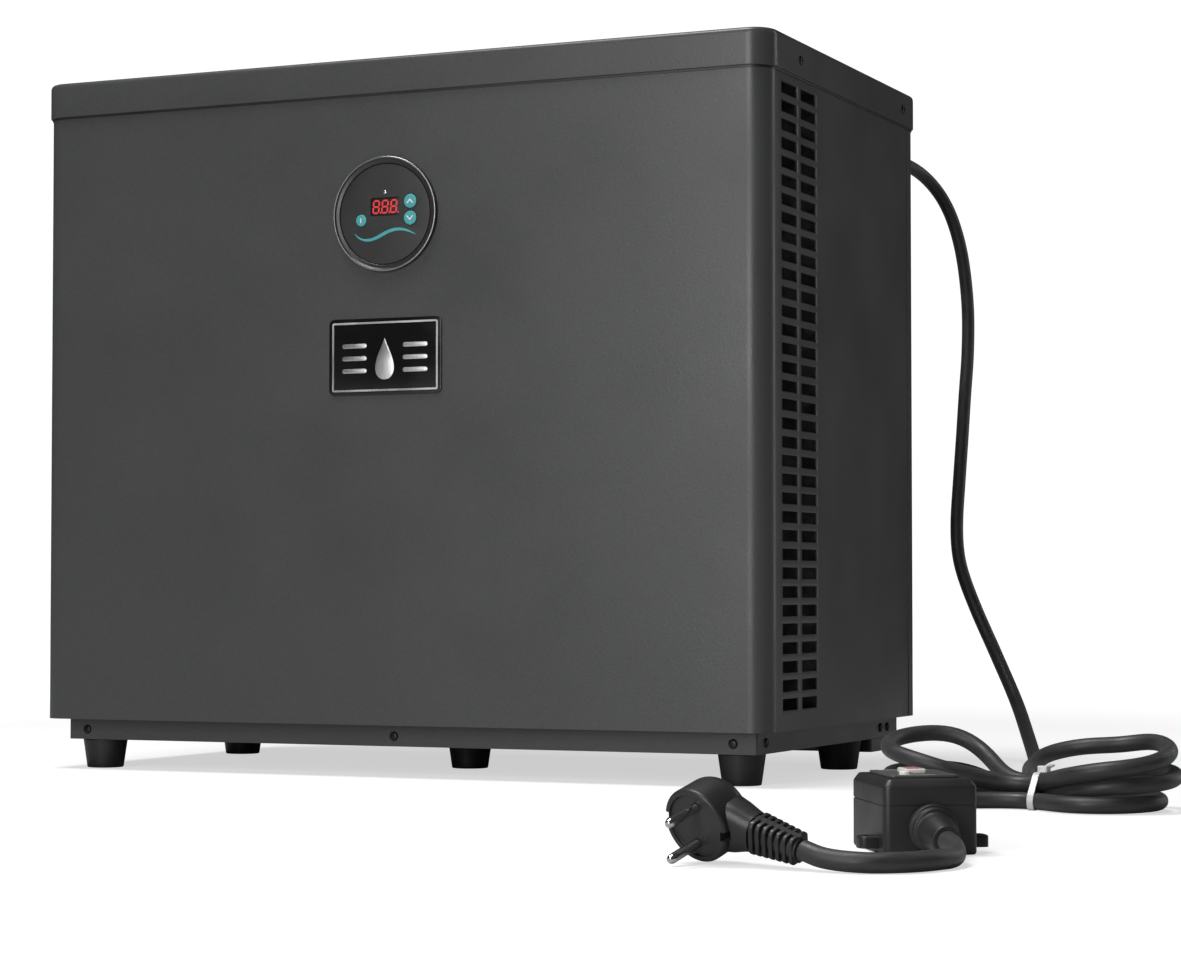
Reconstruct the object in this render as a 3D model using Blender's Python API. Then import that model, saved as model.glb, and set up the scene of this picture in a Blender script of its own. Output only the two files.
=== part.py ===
"""Plug-in pool heat pump: cabinet, fan, refrigeration parts, controller, mains lead with a safety switch.

Metres, +Z up, +X to the right of someone facing the controller, +Y towards the back.
The origin lies on the ground under the middle of the unit, its mains lead left out.
"""
import math

import bmesh
import bpy
from mathutils import Matrix, Vector

MM = 0.001
GAP = 0.3 * MM                 # clearance between pieces that touch

# Cabinet
BODY_W = 560 * MM
BODY_D = 315 * MM
BODY_H = 435 * MM
WALL = 1.5 * MM
GROUND_GAP = 36 * MM           # ground to the cabinet's lower edge
FRONT_RADIUS = 15 * MM
REAR_RADIUS = 15 * MM
LID_H = 25 * MM
LID_OVERHANG = 1.9 * MM
LID_WALL = 1.5 * MM
REAR_WRAP = 22 * MM            # how far the rear panel comes round the sides
LAP = 15 * MM                  # how far the walls reach up inside the lid

# What stands out of the front and the back sets the origin between them
BEZEL_OUT = 3.2 * MM
UNION_OUT = 45 * MM
FRONT_Y = -(BODY_D + UNION_OUT + BEZEL_OUT) / 2 + BEZEL_OUT
REAR_Y = FRONT_Y + BODY_D
HALF_W = BODY_W / 2
BODY_TOP = GROUND_GAP + BODY_H

# Side vents
VENT_ROWS = 34
VENT_TOP = 460 * MM
VENT_PITCH = 12.32 * MM
VENT_H = 7.6 * MM
VENT_COLUMNS = ((26.5 * MM, 56 * MM), (63.5 * MM, 93 * MM))

# Base and feet
SKIRT_HALF_W = 266.7 * MM
SKIRT_FRONT = 15 * MM
SKIRT_REAR = 307 * MM
SKIRT_LOW = 21 * MM
SHEET = 1.5 * MM
RAIL_FRONT = 245 * MM
RAIL_LOW = 11.5 * MM
FOOT_TOP_R = 16 * MM
FOOT_LOW_R = 13 * MM
FOOT_X = 248 * MM
FOOT_FRONT = 34.7 * MM
FOOT_MIDDLE = 131.6 * MM
FOOT_REAR = 228.5 * MM

# Controller
CONTROL_Z = 387 * MM
CONTROL_R = 40 * MM
CONTROL_HOLE_R = 37 * MM
FACE_R = 34.7 * MM
FACE_RECESS = 1.6 * MM
DISPLAY_SIZE = (21.5 * MM, 12 * MM)
DISPLAY_UP = 5 * MM
KEYS = (("power_key", -18.3 * MM, -3.8 * MM, 4.1 * MM),
        ("up_key", 19.7 * MM, 7.8 * MM, 4.85 * MM),
        ("down_key", 19.7 * MM, -3.7 * MM, 4.85 * MM))
KEY_CLEARANCE = 0.4 * MM
BADGE = (87 * MM, 53 * MM, 0.9 * MM)
BADGE_Z = 289 * MM

# Fan
FAN_X = -85 * MM
FAN_Z = 250 * MM
FAN_OPENING_R = 150 * MM
BLADE_R = 138 * MM
BLADES = 5
HUB_R = 40 * MM
SHAFT_R = 5 * MM
GUARD_R = 158 * MM

# Refrigeration side
CHAMBER_X = 92 * MM            # left edge of the compressor chamber
COMPRESSOR_X = 200 * MM
COMPRESSOR_Y = 165 * MM
COMPRESSOR_R = 55 * MM
EXCHANGER_X = 226 * MM
EXCHANGER_Y = 264 * MM
EXCHANGER_R = 42 * MM
PORT_LOW_Z = 95 * MM
PORT_HIGH_Z = 295 * MM
DRAIN_X = -200 * MM
DRAIN_Z = 56 * MM
NUT_FRONT = 319 * MM
NUT_LENGTH = 17 * MM

# Mains lead
CORD_D = 9.8 * MM
CORD_R = CORD_D / 2
CORD_REST = CORD_R + 0.2 * MM  # height of the lead's centre where it lies on the ground
CORD_GAP = 0.9 * MM            # clearance at the lead's ends, whose cut faces lean a little
GLAND_X = 250 * MM
GLAND_Z = 457 * MM
GLAND_END = 350 * MM
HANK_CENTRE = Vector((0.4840, -0.2600, 0))
HANK_TURN = math.radians(-4)
SWITCH_CENTRE = Vector((0.5003, -0.5616, 0))
SWITCH_TURN = math.radians(-57.5)
SWITCH_SIZE = (66 * MM, 47 * MM, 37 * MM)
PLUG_CENTRE = Vector((0.4345, -0.6712, 0.0216))
PLUG_R = 18.5 * MM

HANK_H = 40 * MM
SUPPLY_ROUTE = ((0.2502, 0.186, 0.457), (0.2545, 0.206, 0.4545), (0.262, 0.2235, 0.4465),
                (0.272, 0.236, 0.429), (0.281, 0.243, 0.399), (0.2865, 0.2455, 0.355),
                (0.289, 0.238, 0.314), (0.290, 0.2265, 0.279), (0.291, 0.215, 0.243),
                (0.2912, 0.206, 0.209), (0.2915, 0.199, 0.176), (0.294, 0.198, 0.150),
                (0.303, 0.202, 0.120), (0.321, 0.197, 0.083), (0.345, 0.170, 0.047),
                (0.369, 0.120, 0.0205), (0.388, 0.068, 0.0085), (0.403, 0.018, CORD_REST),
                (0.417, -0.032, CORD_REST), (0.429, -0.082, 0.0058), (0.441, -0.132, 0.0100),
                (0.4525, -0.177, 0.0175), (0.467, -0.211, 0.0245))
SWITCH_ROUTE = ((0.4262, -0.3300, CORD_REST), (0.4285, -0.3700, CORD_REST), (0.4350, -0.4060, CORD_REST),
                (0.4425, -0.4400, CORD_REST), (0.4515, -0.4730, CORD_REST))
PLUG_ROUTE = ((0.5448, -0.6390, CORD_REST), (0.5428, -0.6600, CORD_REST), (0.5330, -0.6780, CORD_REST),
              (0.5160, -0.6870, CORD_REST))
HANK_ENTRY = (-5 * MM, 32 * MM, 30 * MM)
HANK_EXIT = (-48.7 * MM, -43.2 * MM, CORD_REST)
BOOT_Z = 14 * MM
BOOT_DROP = 0.15
BOOT_L = 28 * MM
PLUG_PINS = (-0.3545, -0.8698, -0.3420)
PLUG_ARM = (0.9313, -0.2665, -0.2450)
PLUG_BOOT_L = 26 * MM


# ---------------------------------------------------------------- shared tools

def clear_scene():
    for item in list(bpy.data.objects):
        bpy.data.objects.remove(item, do_unlink=True)


def finish(name, rgb, roughness, metallic=0.0):
    material = bpy.data.materials.new(name)
    material.use_nodes = True
    shader = material.node_tree.nodes["Principled BSDF"]
    shader.inputs["Base Color"].default_value = (*rgb, 1)
    shader.inputs["Roughness"].default_value = roughness
    shader.inputs["Metallic"].default_value = metallic
    return material


def make_object(name, mesh_data, material, smooth=False, origin=(0, 0, 0)):
    """Turn a bmesh into a named object whose origin is the given point."""
    bmesh.ops.recalc_face_normals(mesh_data, faces=mesh_data.faces)
    bmesh.ops.translate(mesh_data, verts=mesh_data.verts, vec=-Vector(origin))
    mesh = bpy.data.meshes.new(name)
    mesh_data.to_mesh(mesh)
    mesh_data.free()
    if smooth:
        mesh.shade_smooth()
        mesh.set_sharp_from_angle(angle=math.radians(35))
    if material:
        mesh.materials.append(material)
    made = bpy.data.objects.new(name, mesh)
    made.location = origin
    bpy.context.scene.collection.objects.link(made)
    return made


def skin(name, rings, material, closed=False, **options):
    """Join rings of points into one closed body, capped at both ends or closed on itself."""
    mesh_data = bmesh.new()
    rows = [[mesh_data.verts.new(point) for point in ring] for ring in rings]
    count = len(rows[0])
    pairs = list(zip(rows, rows[1:]))
    if closed:
        pairs.append((rows[-1], rows[0]))
    for first, second in pairs:
        for i in range(count):
            j = (i + 1) % count
            mesh_data.faces.new((first[i], first[j], second[j], second[i]))
    if not closed:
        mesh_data.faces.new(rows[0])
        mesh_data.faces.new(rows[-1])
    return make_object(name, mesh_data, material, **options)


def turned(name, centre, axis, profile, material, segments=24, **options):
    """Turn a profile of (radius, distance along the axis) pairs about an axis."""
    axis = Vector(axis).normalized()
    across = axis.orthogonal().normalized()
    other = axis.cross(across)
    rings = []
    for radius, along in profile:
        ring = []
        for i in range(segments):
            angle = math.tau * i / segments
            spoke = across * math.cos(angle) + other * math.sin(angle)
            ring.append(Vector(centre) + axis * along + spoke * radius)
        rings.append(ring)
    return skin(name, rings, material, smooth=True, **options)


def rectangle(x0, x1, y0, y1, radius, z, steps=4):
    """A level rectangle with round corners, as points at height z."""
    points = []
    for x, y, start in ((x1, y1, 0), (x0, y1, 90), (x0, y0, 180), (x1, y0, 270)):
        centre_x = x - math.copysign(radius, x - (x0 + x1) / 2)
        centre_y = y - math.copysign(radius, y - (y0 + y1) / 2)
        for i in range(steps + 1):
            angle = math.radians(start + 90 * i / steps)
            points.append((centre_x + radius * math.cos(angle), centre_y + radius * math.sin(angle), z))
    return points


def upright(outline, y0, y1):
    """Two rings that stand a drawn (x, z) outline between two depths."""
    return [[(x, y, z) for x, z in outline] for y in (y0, y1)]


def level(outline, z0, z1):
    """Two rings that raise a drawn (x, y) outline between two heights."""
    return [[(x, y, z) for x, y in outline] for z in (z0, z1)]


def box_rings(x0, x1, y0, y1, z0, z1):
    return level(((x0, y0), (x1, y0), (x1, y1), (x0, y1)), z0, z1)


def box(name, corners, material, **options):
    return skin(name, box_rings(*corners), material, **options)


def back(distance):
    """The Y of a place this far behind the cabinet's front face."""
    return FRONT_Y + distance


def shape(target, tool, operation="DIFFERENCE"):
    """Cut a tool out of a body, or join it on; the tool itself isn't part of the object."""
    tool.hide_render = True
    tool.display_type = "WIRE"
    modifier = target.modifiers.new(tool.name, "BOOLEAN")
    modifier.operation = operation
    modifier.solver = "EXACT"
    modifier.object = tool
    return target


def drill(target, centre, axis, radius, length, segments=24):
    """Cut a round hole whose middle is at centre."""
    profile = ((radius, -length / 2), (radius, length / 2))
    return shape(target, turned("drill_" + target.name, centre, axis, profile, None, segments))


def smooth_path(points, spacing):
    """Even points along a Catmull-Rom curve through the given points."""
    points = [Vector(point) for point in points]
    ends = [2 * points[0] - points[1]] + points + [2 * points[-1] - points[-2]]
    dense = []
    for i in range(len(points) - 1):
        a, b, c, d = ends[i:i + 4]
        for step in range(24):
            t = step / 24
            dense.append(0.5 * (2 * b + (c - a) * t + (2 * a - 5 * b + 4 * c - d) * t * t
                                + (3 * b - a - 3 * c + d) * t ** 3))
    dense.append(points[-1])
    total = sum((q - p).length for p, q in zip(dense, dense[1:]))
    count = max(2, round(total / spacing))
    even, walked, target = [dense[0]], 0.0, total / count
    for p, q in zip(dense, dense[1:]):
        step = (q - p).length
        while walked + step >= target and len(even) < count:
            even.append(p.lerp(q, (target - walked) / step))
            target += total / count
        walked += step
    return even + [dense[-1]]


def tube(name, points, diameter, material, resolution=2):
    """A round bar along a polyline, with flat ends."""
    curve = bpy.data.curves.new(name, "CURVE")
    curve.dimensions = "3D"
    curve.bevel_depth = diameter / 2
    curve.bevel_resolution = resolution
    curve.use_fill_caps = True
    spline = curve.splines.new("POLY")
    spline.points.add(len(points) - 1)
    for knot, point in zip(spline.points, points):
        knot.co = (*point, 1)
    curve.materials.append(material)
    made = bpy.data.objects.new(name, curve)
    bpy.context.scene.collection.objects.link(made)
    return made


def mover(name, place, parent=None):
    """An empty on a joint's axis, which carries the moving piece."""
    empty = bpy.data.objects.new(name, None)
    empty.location = place
    empty.parent = parent
    bpy.context.scene.collection.objects.link(empty)
    return empty


def carry(empty, piece):
    """Hang a piece on its empty without moving it."""
    piece.parent = empty
    piece.matrix_parent_inverse = Matrix.Translation(-Vector(empty.location))
    return piece


# ---------------------------------------------------------------- cabinet

def wrap_outline(open_y, face_y, radius, steps=4):
    """A U of sheet seen from above: two sides and the face between them, with round corners."""
    towards = 1 if open_y > face_y else -1

    def path(half, corner, offset):
        points = [(half, open_y)]
        for side, first in ((1, 0), (-1, 90)):
            for i in range(steps + 1):
                angle = math.radians(first + 90 * i / steps)
                points.append((side * (half - corner) + corner * math.cos(angle),
                               face_y + towards * (offset + corner - corner * math.sin(angle))))
        return points + [(-half, open_y)]

    outer = path(HALF_W, radius, 0)
    inner = path(HALF_W - WALL, radius - WALL, WALL)
    return outer + inner[::-1]


def vent_cutter():
    """Bars that pass through both side walls, one for each row and column of slots."""
    mesh_data = bmesh.new()
    reach = HALF_W + 10 * MM
    for row in range(VENT_ROWS):
        z = VENT_TOP - row * VENT_PITCH
        for start, end in VENT_COLUMNS:
            size = Matrix.Diagonal((2 * reach, end - start, VENT_H, 1))
            place = Matrix.Translation((0, back((start + end) / 2), z))
            bmesh.ops.create_cube(mesh_data, size=1, matrix=place @ size)
    return make_object("vent_bars", mesh_data, None)


def front_casing(paint):
    seam = back(BODY_D - REAR_WRAP)
    rings = level(wrap_outline(seam, FRONT_Y, FRONT_RADIUS), GROUND_GAP, BODY_TOP + LAP)
    casing = skin("front_casing", rings, paint)
    shape(casing, vent_cutter())
    return drill(casing, (0, FRONT_Y, CONTROL_Z), (0, 1, 0), CONTROL_HOLE_R, 20 * MM, 28)


def rear_panel(paint):
    seam = back(BODY_D - REAR_WRAP) + GAP
    rings = level(wrap_outline(seam, REAR_Y, REAR_RADIUS), GROUND_GAP, BODY_TOP + LAP)
    panel = skin("rear_panel", rings, paint)
    drill(panel, (FAN_X, REAR_Y, FAN_Z), (0, 1, 0), FAN_OPENING_R, 20 * MM, 32)
    for z in (PORT_LOW_Z, PORT_HIGH_Z):
        drill(panel, (EXCHANGER_X, REAR_Y, z), (0, 1, 0), 21.5 * MM, 20 * MM, 16)
    drill(panel, (GLAND_X, REAR_Y, GLAND_Z), (0, 1, 0), 9 * MM, 20 * MM, 12)
    return drill(panel, (DRAIN_X, REAR_Y, DRAIN_Z), (0, 1, 0), 9 * MM, 20 * MM, 12)


def top_cover(paint):
    x, front, rear = HALF_W + LID_OVERHANG, FRONT_Y - LID_OVERHANG, REAR_Y + LID_OVERHANG
    top = BODY_TOP + LID_H
    radius = FRONT_RADIUS + LID_OVERHANG

    def ring(inset, z):
        return rectangle(-x + inset, x - inset, front + inset, rear - inset, radius - inset, z, 4)

    rings = [ring(5 * MM, top), ring(1.5 * MM, top - 1 * MM), ring(0, top - 4 * MM), ring(0, BODY_TOP),
             ring(LID_WALL, BODY_TOP), ring(LID_WALL, top - 5 * MM), ring(5 * MM, top - 2 * MM)]
    return skin("top_cover", rings, paint)


def base_pan(paint):
    """A tray with an outward flange that the casing sits around."""
    def tray(inset, z):
        return rectangle(-SKIRT_HALF_W + inset, SKIRT_HALF_W - inset, back(SKIRT_FRONT) + inset,
                         back(SKIRT_REAR) - inset, 3 * MM, z, 3)

    def flange(z):
        reach = WALL + GAP
        return rectangle(-HALF_W + reach, HALF_W - reach, back(reach), REAR_Y - reach, 16 * MM, z, 3)

    under = GROUND_GAP + GAP
    rings = [tray(SHEET, SKIRT_LOW + SHEET), tray(SHEET, under + SHEET), flange(under + SHEET),
             flange(under), tray(0, under), tray(0, SKIRT_LOW)]
    return skin("base_pan", rings, paint)


def rear_rail(paint):
    """A channel under the rear of the base, open at the top."""
    def ring(inset, z):
        return rectangle(-SKIRT_HALF_W + inset, SKIRT_HALF_W - inset, back(RAIL_FRONT) + inset,
                         back(SKIRT_REAR) - inset, 2 * MM, z, 2)

    top = SKIRT_LOW - GAP
    rings = [ring(0, RAIL_LOW), ring(0, top), ring(SHEET, top), ring(SHEET, RAIL_LOW + SHEET)]
    return skin("rear_rail", rings, paint)


def feet(rubber):
    places = {"foot_front_left": (-FOOT_X, FOOT_FRONT), "foot_front_right": (FOOT_X, FOOT_FRONT),
              "foot_rear_left": (-FOOT_X, FOOT_REAR), "foot_rear_right": (FOOT_X, FOOT_REAR),
              "foot_middle": (0, FOOT_MIDDLE)}
    profile = ((FOOT_LOW_R - 0.8 * MM, 0), (FOOT_LOW_R, 0.8 * MM), (FOOT_TOP_R - 0.4 * MM, 18 * MM),
               (FOOT_TOP_R, SKIRT_LOW - GAP))
    for name, (x, behind) in places.items():
        turned(name, (x, back(behind), 0), (0, 0, 1), profile, rubber, 16)


# ---------------------------------------------------------------- controller

def controller(plastic, dark, lens, teal):
    """A round bezel through the front casing, with a recessed face, a display and three keys."""
    centre = Vector((0, FRONT_Y, CONTROL_Z))
    bore = FACE_R + 0.4 * MM
    sleeve = CONTROL_HOLE_R - GAP
    profile = ((CONTROL_R, -GAP), (CONTROL_R, -1.8 * MM), (CONTROL_R - 1.5 * MM, -BEZEL_OUT),
               (bore + 1.2 * MM, -BEZEL_OUT), (bore, -2.2 * MM), (bore, 12 * MM),
               (sleeve, 12 * MM), (sleeve, -GAP))
    turned("controller_bezel", centre, (0, 1, 0), profile, plastic, 28, closed=True)

    face = turned("controller_face", centre, (0, 1, 0),
                  ((FACE_R, -FACE_RECESS), (FACE_R, 1 * MM)), dark, 28)
    width, height = DISPLAY_SIZE
    low = CONTROL_Z + DISPLAY_UP - height / 2
    window = [-width / 2, width / 2, FRONT_Y - 1.3 * MM, FRONT_Y + 0.9 * MM, low, low + height]
    hole = [window[0] - GAP, window[1] + GAP, FRONT_Y - 9 * MM, FRONT_Y + 9 * MM,
            window[4] - GAP, window[5] + GAP]
    shape(face, box("window_cutter", hole, None))
    box("display_window", window, lens)
    for name, x, up, radius in KEYS:
        place = centre + Vector((x, 0, up))
        drill(face, place, (0, 1, 0), radius + KEY_CLEARANCE, 18 * MM, 14)
        carry(mover(name + "_axis", place),
              turned(name, place, (0, 1, 0),
                     ((radius - 0.5 * MM, -2.3 * MM), (radius, -1.9 * MM), (radius, 2.2 * MM)),
                     teal, 14, origin=place))
    turned("controller_housing", centre, (0, 1, 0),
           ((FACE_R - 1 * MM, 3.2 * MM), (FACE_R - 1 * MM, 26 * MM)), plastic, 20)


def badge_plate(dark):
    width, height, thick = BADGE
    radius = 4 * MM
    points = rectangle(-width / 2, width / 2, BADGE_Z - height / 2, BADGE_Z + height / 2, radius, 0)
    outline = [(x, z) for x, z, _ in points]
    skin("badge_plate", upright(outline, FRONT_Y - GAP - thick, FRONT_Y - GAP), dark)


# ---------------------------------------------------------------- fan

def fan_guard(metal):
    """Rings and radial bars, with an outer ring that rests on the rear panel."""
    centre = (FAN_X, REAR_Y, FAN_Z)

    def hoop(name, radius, width, y0, y1, segments=24):
        profile = ((radius, y0), (radius + width, y0), (radius + width, y1), (radius, y1))
        return turned(name, centre, (0, 1, 0), profile, metal, segments, closed=True)

    guard = hoop("fan_guard", GUARD_R - 8 * MM, 8 * MM, GAP, 6 * MM, 28)
    for index, radius in enumerate((70 * MM, 110 * MM)):
        shape(guard, hoop(f"guard_ring_{index}", radius, 3 * MM, 3 * MM, 6 * MM), "UNION")
    boss = turned("guard_boss", centre, (0, 1, 0), ((30 * MM, 3 * MM), (30 * MM, 6 * MM)), None, 12)
    shape(guard, boss, "UNION")
    mesh_data = bmesh.new()
    start, end = 26 * MM, GUARD_R - 4 * MM
    for index in range(6):
        turn = Matrix.Rotation(math.tau * index / 6, 4, "Y")
        place = Matrix.Translation((0, 6 * MM, (start + end) / 2))
        size = Matrix.Diagonal((4 * MM, 3 * MM, end - start, 1))
        bmesh.ops.create_cube(mesh_data, size=1,
                              matrix=Matrix.Translation(centre) @ turn @ place @ size)
    return shape(guard, make_object("guard_bars", mesh_data, None), "UNION")


def fan_shroud(plastic):
    """A bell-mouthed ring around the blades, against the inside of the rear panel."""
    inner, outer = FAN_OPENING_R - 6 * MM, FAN_OPENING_R - 3 * MM
    rim = FAN_OPENING_R + 8 * MM
    rear = -WALL - GAP
    profile = ((inner, rear), (rim, rear), (rim, rear - 2 * MM), (outer, rear - 2 * MM),
               (outer, -50 * MM), (inner, -52 * MM))
    turned("fan_shroud", (FAN_X, REAR_Y, FAN_Z), (0, 1, 0), profile, plastic, 32, closed=True)


def blade_set(centre):
    """Twisted blades whose roots run into the hub."""
    mesh_data = bmesh.new()
    root, sweep, reach = HUB_R - 4 * MM, math.radians(44), 5
    for blade in range(BLADES):
        start = math.tau * blade / BLADES
        layers = []
        for side in (-1, 1):
            rows = []
            for i in range(reach):
                along = i / (reach - 1)
                radius = root + (BLADE_R - root) * along
                row = []
                for j in range(reach):
                    across = j / (reach - 1) - 0.5
                    angle = start + sweep * across + 0.25 * along
                    rise = 26 * MM * across * (1 - 0.35 * along) + side * 1.1 * MM
                    row.append(mesh_data.verts.new((centre.x + radius * math.cos(angle), centre.y + rise,
                                                    centre.z + radius * math.sin(angle))))
                rows.append(row)
            layers.append(rows)
        for rows in layers:
            for i in range(reach - 1):
                for j in range(reach - 1):
                    mesh_data.faces.new((rows[i][j], rows[i + 1][j], rows[i + 1][j + 1], rows[i][j + 1]))
        rims = [[(0, j) for j in range(reach)], [(reach - 1, j) for j in range(reach)],
                [(i, 0) for i in range(reach)], [(i, reach - 1) for i in range(reach)]]
        low, high = layers
        for rim in rims:
            for (a, b), (c, d) in zip(rim, rim[1:]):
                mesh_data.faces.new((low[a][b], low[c][d], high[c][d], high[a][b]))
    return make_object("blade_set", mesh_data, None)


def fan_rotor(plastic):
    """A hub with a shaft bore and its blades, on the fan's own axis."""
    centre = Vector((FAN_X, back(283 * MM), FAN_Z))
    hub = turned("fan_rotor", centre, (0, 1, 0),
                 ((HUB_R - 3 * MM, -18 * MM), (HUB_R, -15 * MM), (HUB_R, 14 * MM), (HUB_R - 5 * MM, 18 * MM)),
                 plastic, 20, origin=centre)
    shape(hub, blade_set(centre), "UNION")
    drill(hub, centre - Vector((0, 12 * MM, 0)), (0, 1, 0), SHAFT_R + GAP, 40 * MM, 12)
    carry(mover("fan_axis", centre), hub)


def fan_motor(metal):
    centre = (FAN_X, back(190 * MM), FAN_Z)
    profile = ((40 * MM, 0), (44 * MM, 4 * MM), (44 * MM, 50 * MM), (38 * MM, 58 * MM),
               (14 * MM, 60 * MM), (SHAFT_R, 60 * MM), (SHAFT_R, 98 * MM))
    turned("fan_motor", centre, (0, 1, 0), profile, metal, 16)


def motor_bracket(metal):
    """Two posts from the base to the lid, joined by a plate behind the motor."""
    half, post, plate = 65 * MM, 14 * MM, 52 * MM
    low, high = SKIRT_LOW + SHEET + GAP, BODY_TOP + LAP
    outline = ((-half, low), (-half + post, low), (-half + post, FAN_Z - plate),
               (half - post, FAN_Z - plate), (half - post, low), (half, low), (half, high),
               (half - post, high), (half - post, FAN_Z + plate), (-half + post, FAN_Z + plate),
               (-half + post, high), (-half, high))
    rings = upright([(FAN_X + x, z) for x, z in outline], back(186 * MM), back(189.7 * MM))
    skin("motor_bracket", rings, metal)


# ---------------------------------------------------------------- refrigeration

def evaporator_coil(metal):
    """The finned block that the air passes through, between the side vents and the fan."""
    box("evaporator_coil", (-262 * MM, 88 * MM, back(98 * MM), back(124 * MM), 23 * MM, 458 * MM), metal)


def partition(metal):
    """An L of sheet that closes the compressor chamber off from the fan."""
    left, thick, front, rear = CHAMBER_X, 1.2 * MM, back(98 * MM), REAR_Y - WALL - GAP
    right = HALF_W - WALL - GAP
    outline = ((left, front), (right, front), (right, front + thick), (left + thick, front + thick),
               (left + thick, rear), (left, rear))
    skin("partition", level(outline, GROUND_GAP + 3 * MM, BODY_TOP + LAP), metal)


def compressor(steel, rubber):
    centre = (COMPRESSOR_X, back(COMPRESSOR_Y), 0)
    profile = ((62 * MM, 36 * MM), (62 * MM, 39 * MM), (COMPRESSOR_R - 3 * MM, 39 * MM),
               (COMPRESSOR_R, 46 * MM), (COMPRESSOR_R, 232 * MM), (48 * MM, 246 * MM), (28 * MM, 255 * MM),
               (8 * MM, 258 * MM))
    turned("compressor", centre, (0, 0, 1), profile, steel, 20)
    for index in range(3):
        angle = math.radians(90 + 120 * index)
        place = (COMPRESSOR_X + 50 * MM * math.cos(angle), back(COMPRESSOR_Y) + 50 * MM * math.sin(angle),
                 SKIRT_LOW + SHEET + GAP)
        turned(f"compressor_mount_{index + 1}", place, (0, 0, 1),
               ((10 * MM, 0), (8 * MM, 6 * MM), (10 * MM, 12.6 * MM)), rubber, 10)
    turned("accumulator", (120.5 * MM, back(126 * MM), 0), (0, 0, 1),
           ((14 * MM, 78 * MM), (23 * MM, 90 * MM), (23 * MM, 212 * MM), (14 * MM, 224 * MM)), steel, 14)


def heat_exchanger(plastic):
    """The shell that holds the titanium coil, where the pool water is heated."""
    profile = ((36 * MM, 58 * MM), (EXCHANGER_R, 64 * MM), (EXCHANGER_R, 326 * MM), (36 * MM, 332 * MM))
    turned("heat_exchanger", (EXCHANGER_X, back(EXCHANGER_Y), 0), (0, 0, 1), profile, plastic, 18)


def water_union(name, z, plastic, dark):
    """A hose tail out of the rear panel, and the nut that turns on it."""
    centre = Vector((EXCHANGER_X, FRONT_Y, z))
    end = BODY_D + UNION_OUT
    bore = 12.5 * MM
    profile = ((16 * MM, 306.8 * MM), (21 * MM, 311 * MM), (21 * MM, 315.3 * MM), (25 * MM, 315.3 * MM),
               (25 * MM, NUT_FRONT - 0.5 * MM), (20 * MM, NUT_FRONT - 0.5 * MM), (20 * MM, 337 * MM),
               (16.5 * MM, 337 * MM), (16.5 * MM, end - 3 * MM), (15.2 * MM, end), (bore, end),
               (bore, 318 * MM))
    turned(name, centre, (0, 1, 0), profile, plastic, 16)
    place = centre + Vector((0, NUT_FRONT, 0))
    nut = turned(name.replace("water_", "") + "_nut", place, (0, 1, 0),
                 ((20.4 * MM, 0), (28 * MM, 0), (28 * MM, NUT_LENGTH), (20.4 * MM, NUT_LENGTH)),
                 dark, 16, closed=True, origin=place)
    carry(mover(name + "_axis", place), nut)


def drain_nozzle(plastic):
    profile = ((8 * MM, 300 * MM), (8 * MM, 315.3 * MM), (12 * MM, 315.3 * MM), (12 * MM, 318 * MM),
               (7 * MM, 318 * MM), (7.6 * MM, 322 * MM), (6.8 * MM, 338 * MM), (4.6 * MM, 338 * MM),
               (4.6 * MM, 318 * MM))
    turned("drain_nozzle", (DRAIN_X, FRONT_Y, DRAIN_Z), (0, 1, 0), profile, plastic, 12)


def pipework(copper, brass):
    """Four-way valve, filter drier, and the three refrigerant pipes between them."""
    valve = Vector((150 * MM, back(255 * MM), 352 * MM))
    turned("four_way_valve", valve - Vector((40 * MM, 0, 0)), (1, 0, 0),
           ((9 * MM, 0), (12 * MM, 3 * MM), (12 * MM, 77 * MM), (9 * MM, 80 * MM)), brass, 12)
    tube("discharge_pipe", smooth_path((
        (COMPRESSOR_X, back(COMPRESSOR_Y), 258.5 * MM), (COMPRESSOR_X, back(COMPRESSOR_Y), 290 * MM),
        (190 * MM, back(185 * MM), 318 * MM), (174 * MM, back(225 * MM), 322 * MM),
        (168 * MM, back(250 * MM), 328 * MM), (168 * MM, back(255 * MM), 336.5 * MM)), 14 * MM),
        9.5 * MM, copper, 1)
    tube("suction_pipe", smooth_path((
        (120.5 * MM, back(126 * MM), 224.6 * MM), (120.5 * MM, back(126 * MM), 260 * MM),
        (122 * MM, back(150 * MM), 300 * MM), (128 * MM, back(210 * MM), 316 * MM),
        (132 * MM, back(248 * MM), 322 * MM), (132 * MM, back(255 * MM), 336.5 * MM)), 14 * MM),
        12 * MM, copper, 1)
    drier = Vector((122 * MM, back(205 * MM), 120 * MM))
    turned("filter_drier", drier, (0, 0, 1),
           ((4 * MM, -34 * MM), (11 * MM, -24 * MM), (11 * MM, 24 * MM), (4 * MM, 34 * MM)), copper, 10)
    tube("liquid_pipe", smooth_path((
        (122 * MM, back(205 * MM), 85.4 * MM), (122 * MM, back(206 * MM), 62 * MM),
        (135 * MM, back(232 * MM), 50 * MM), (170 * MM, back(250 * MM), 47 * MM),
        (208 * MM, back(262 * MM), 45 * MM), (226 * MM, back(264 * MM), 54 * MM)), 12 * MM),
        8 * MM, copper, 1)


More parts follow.
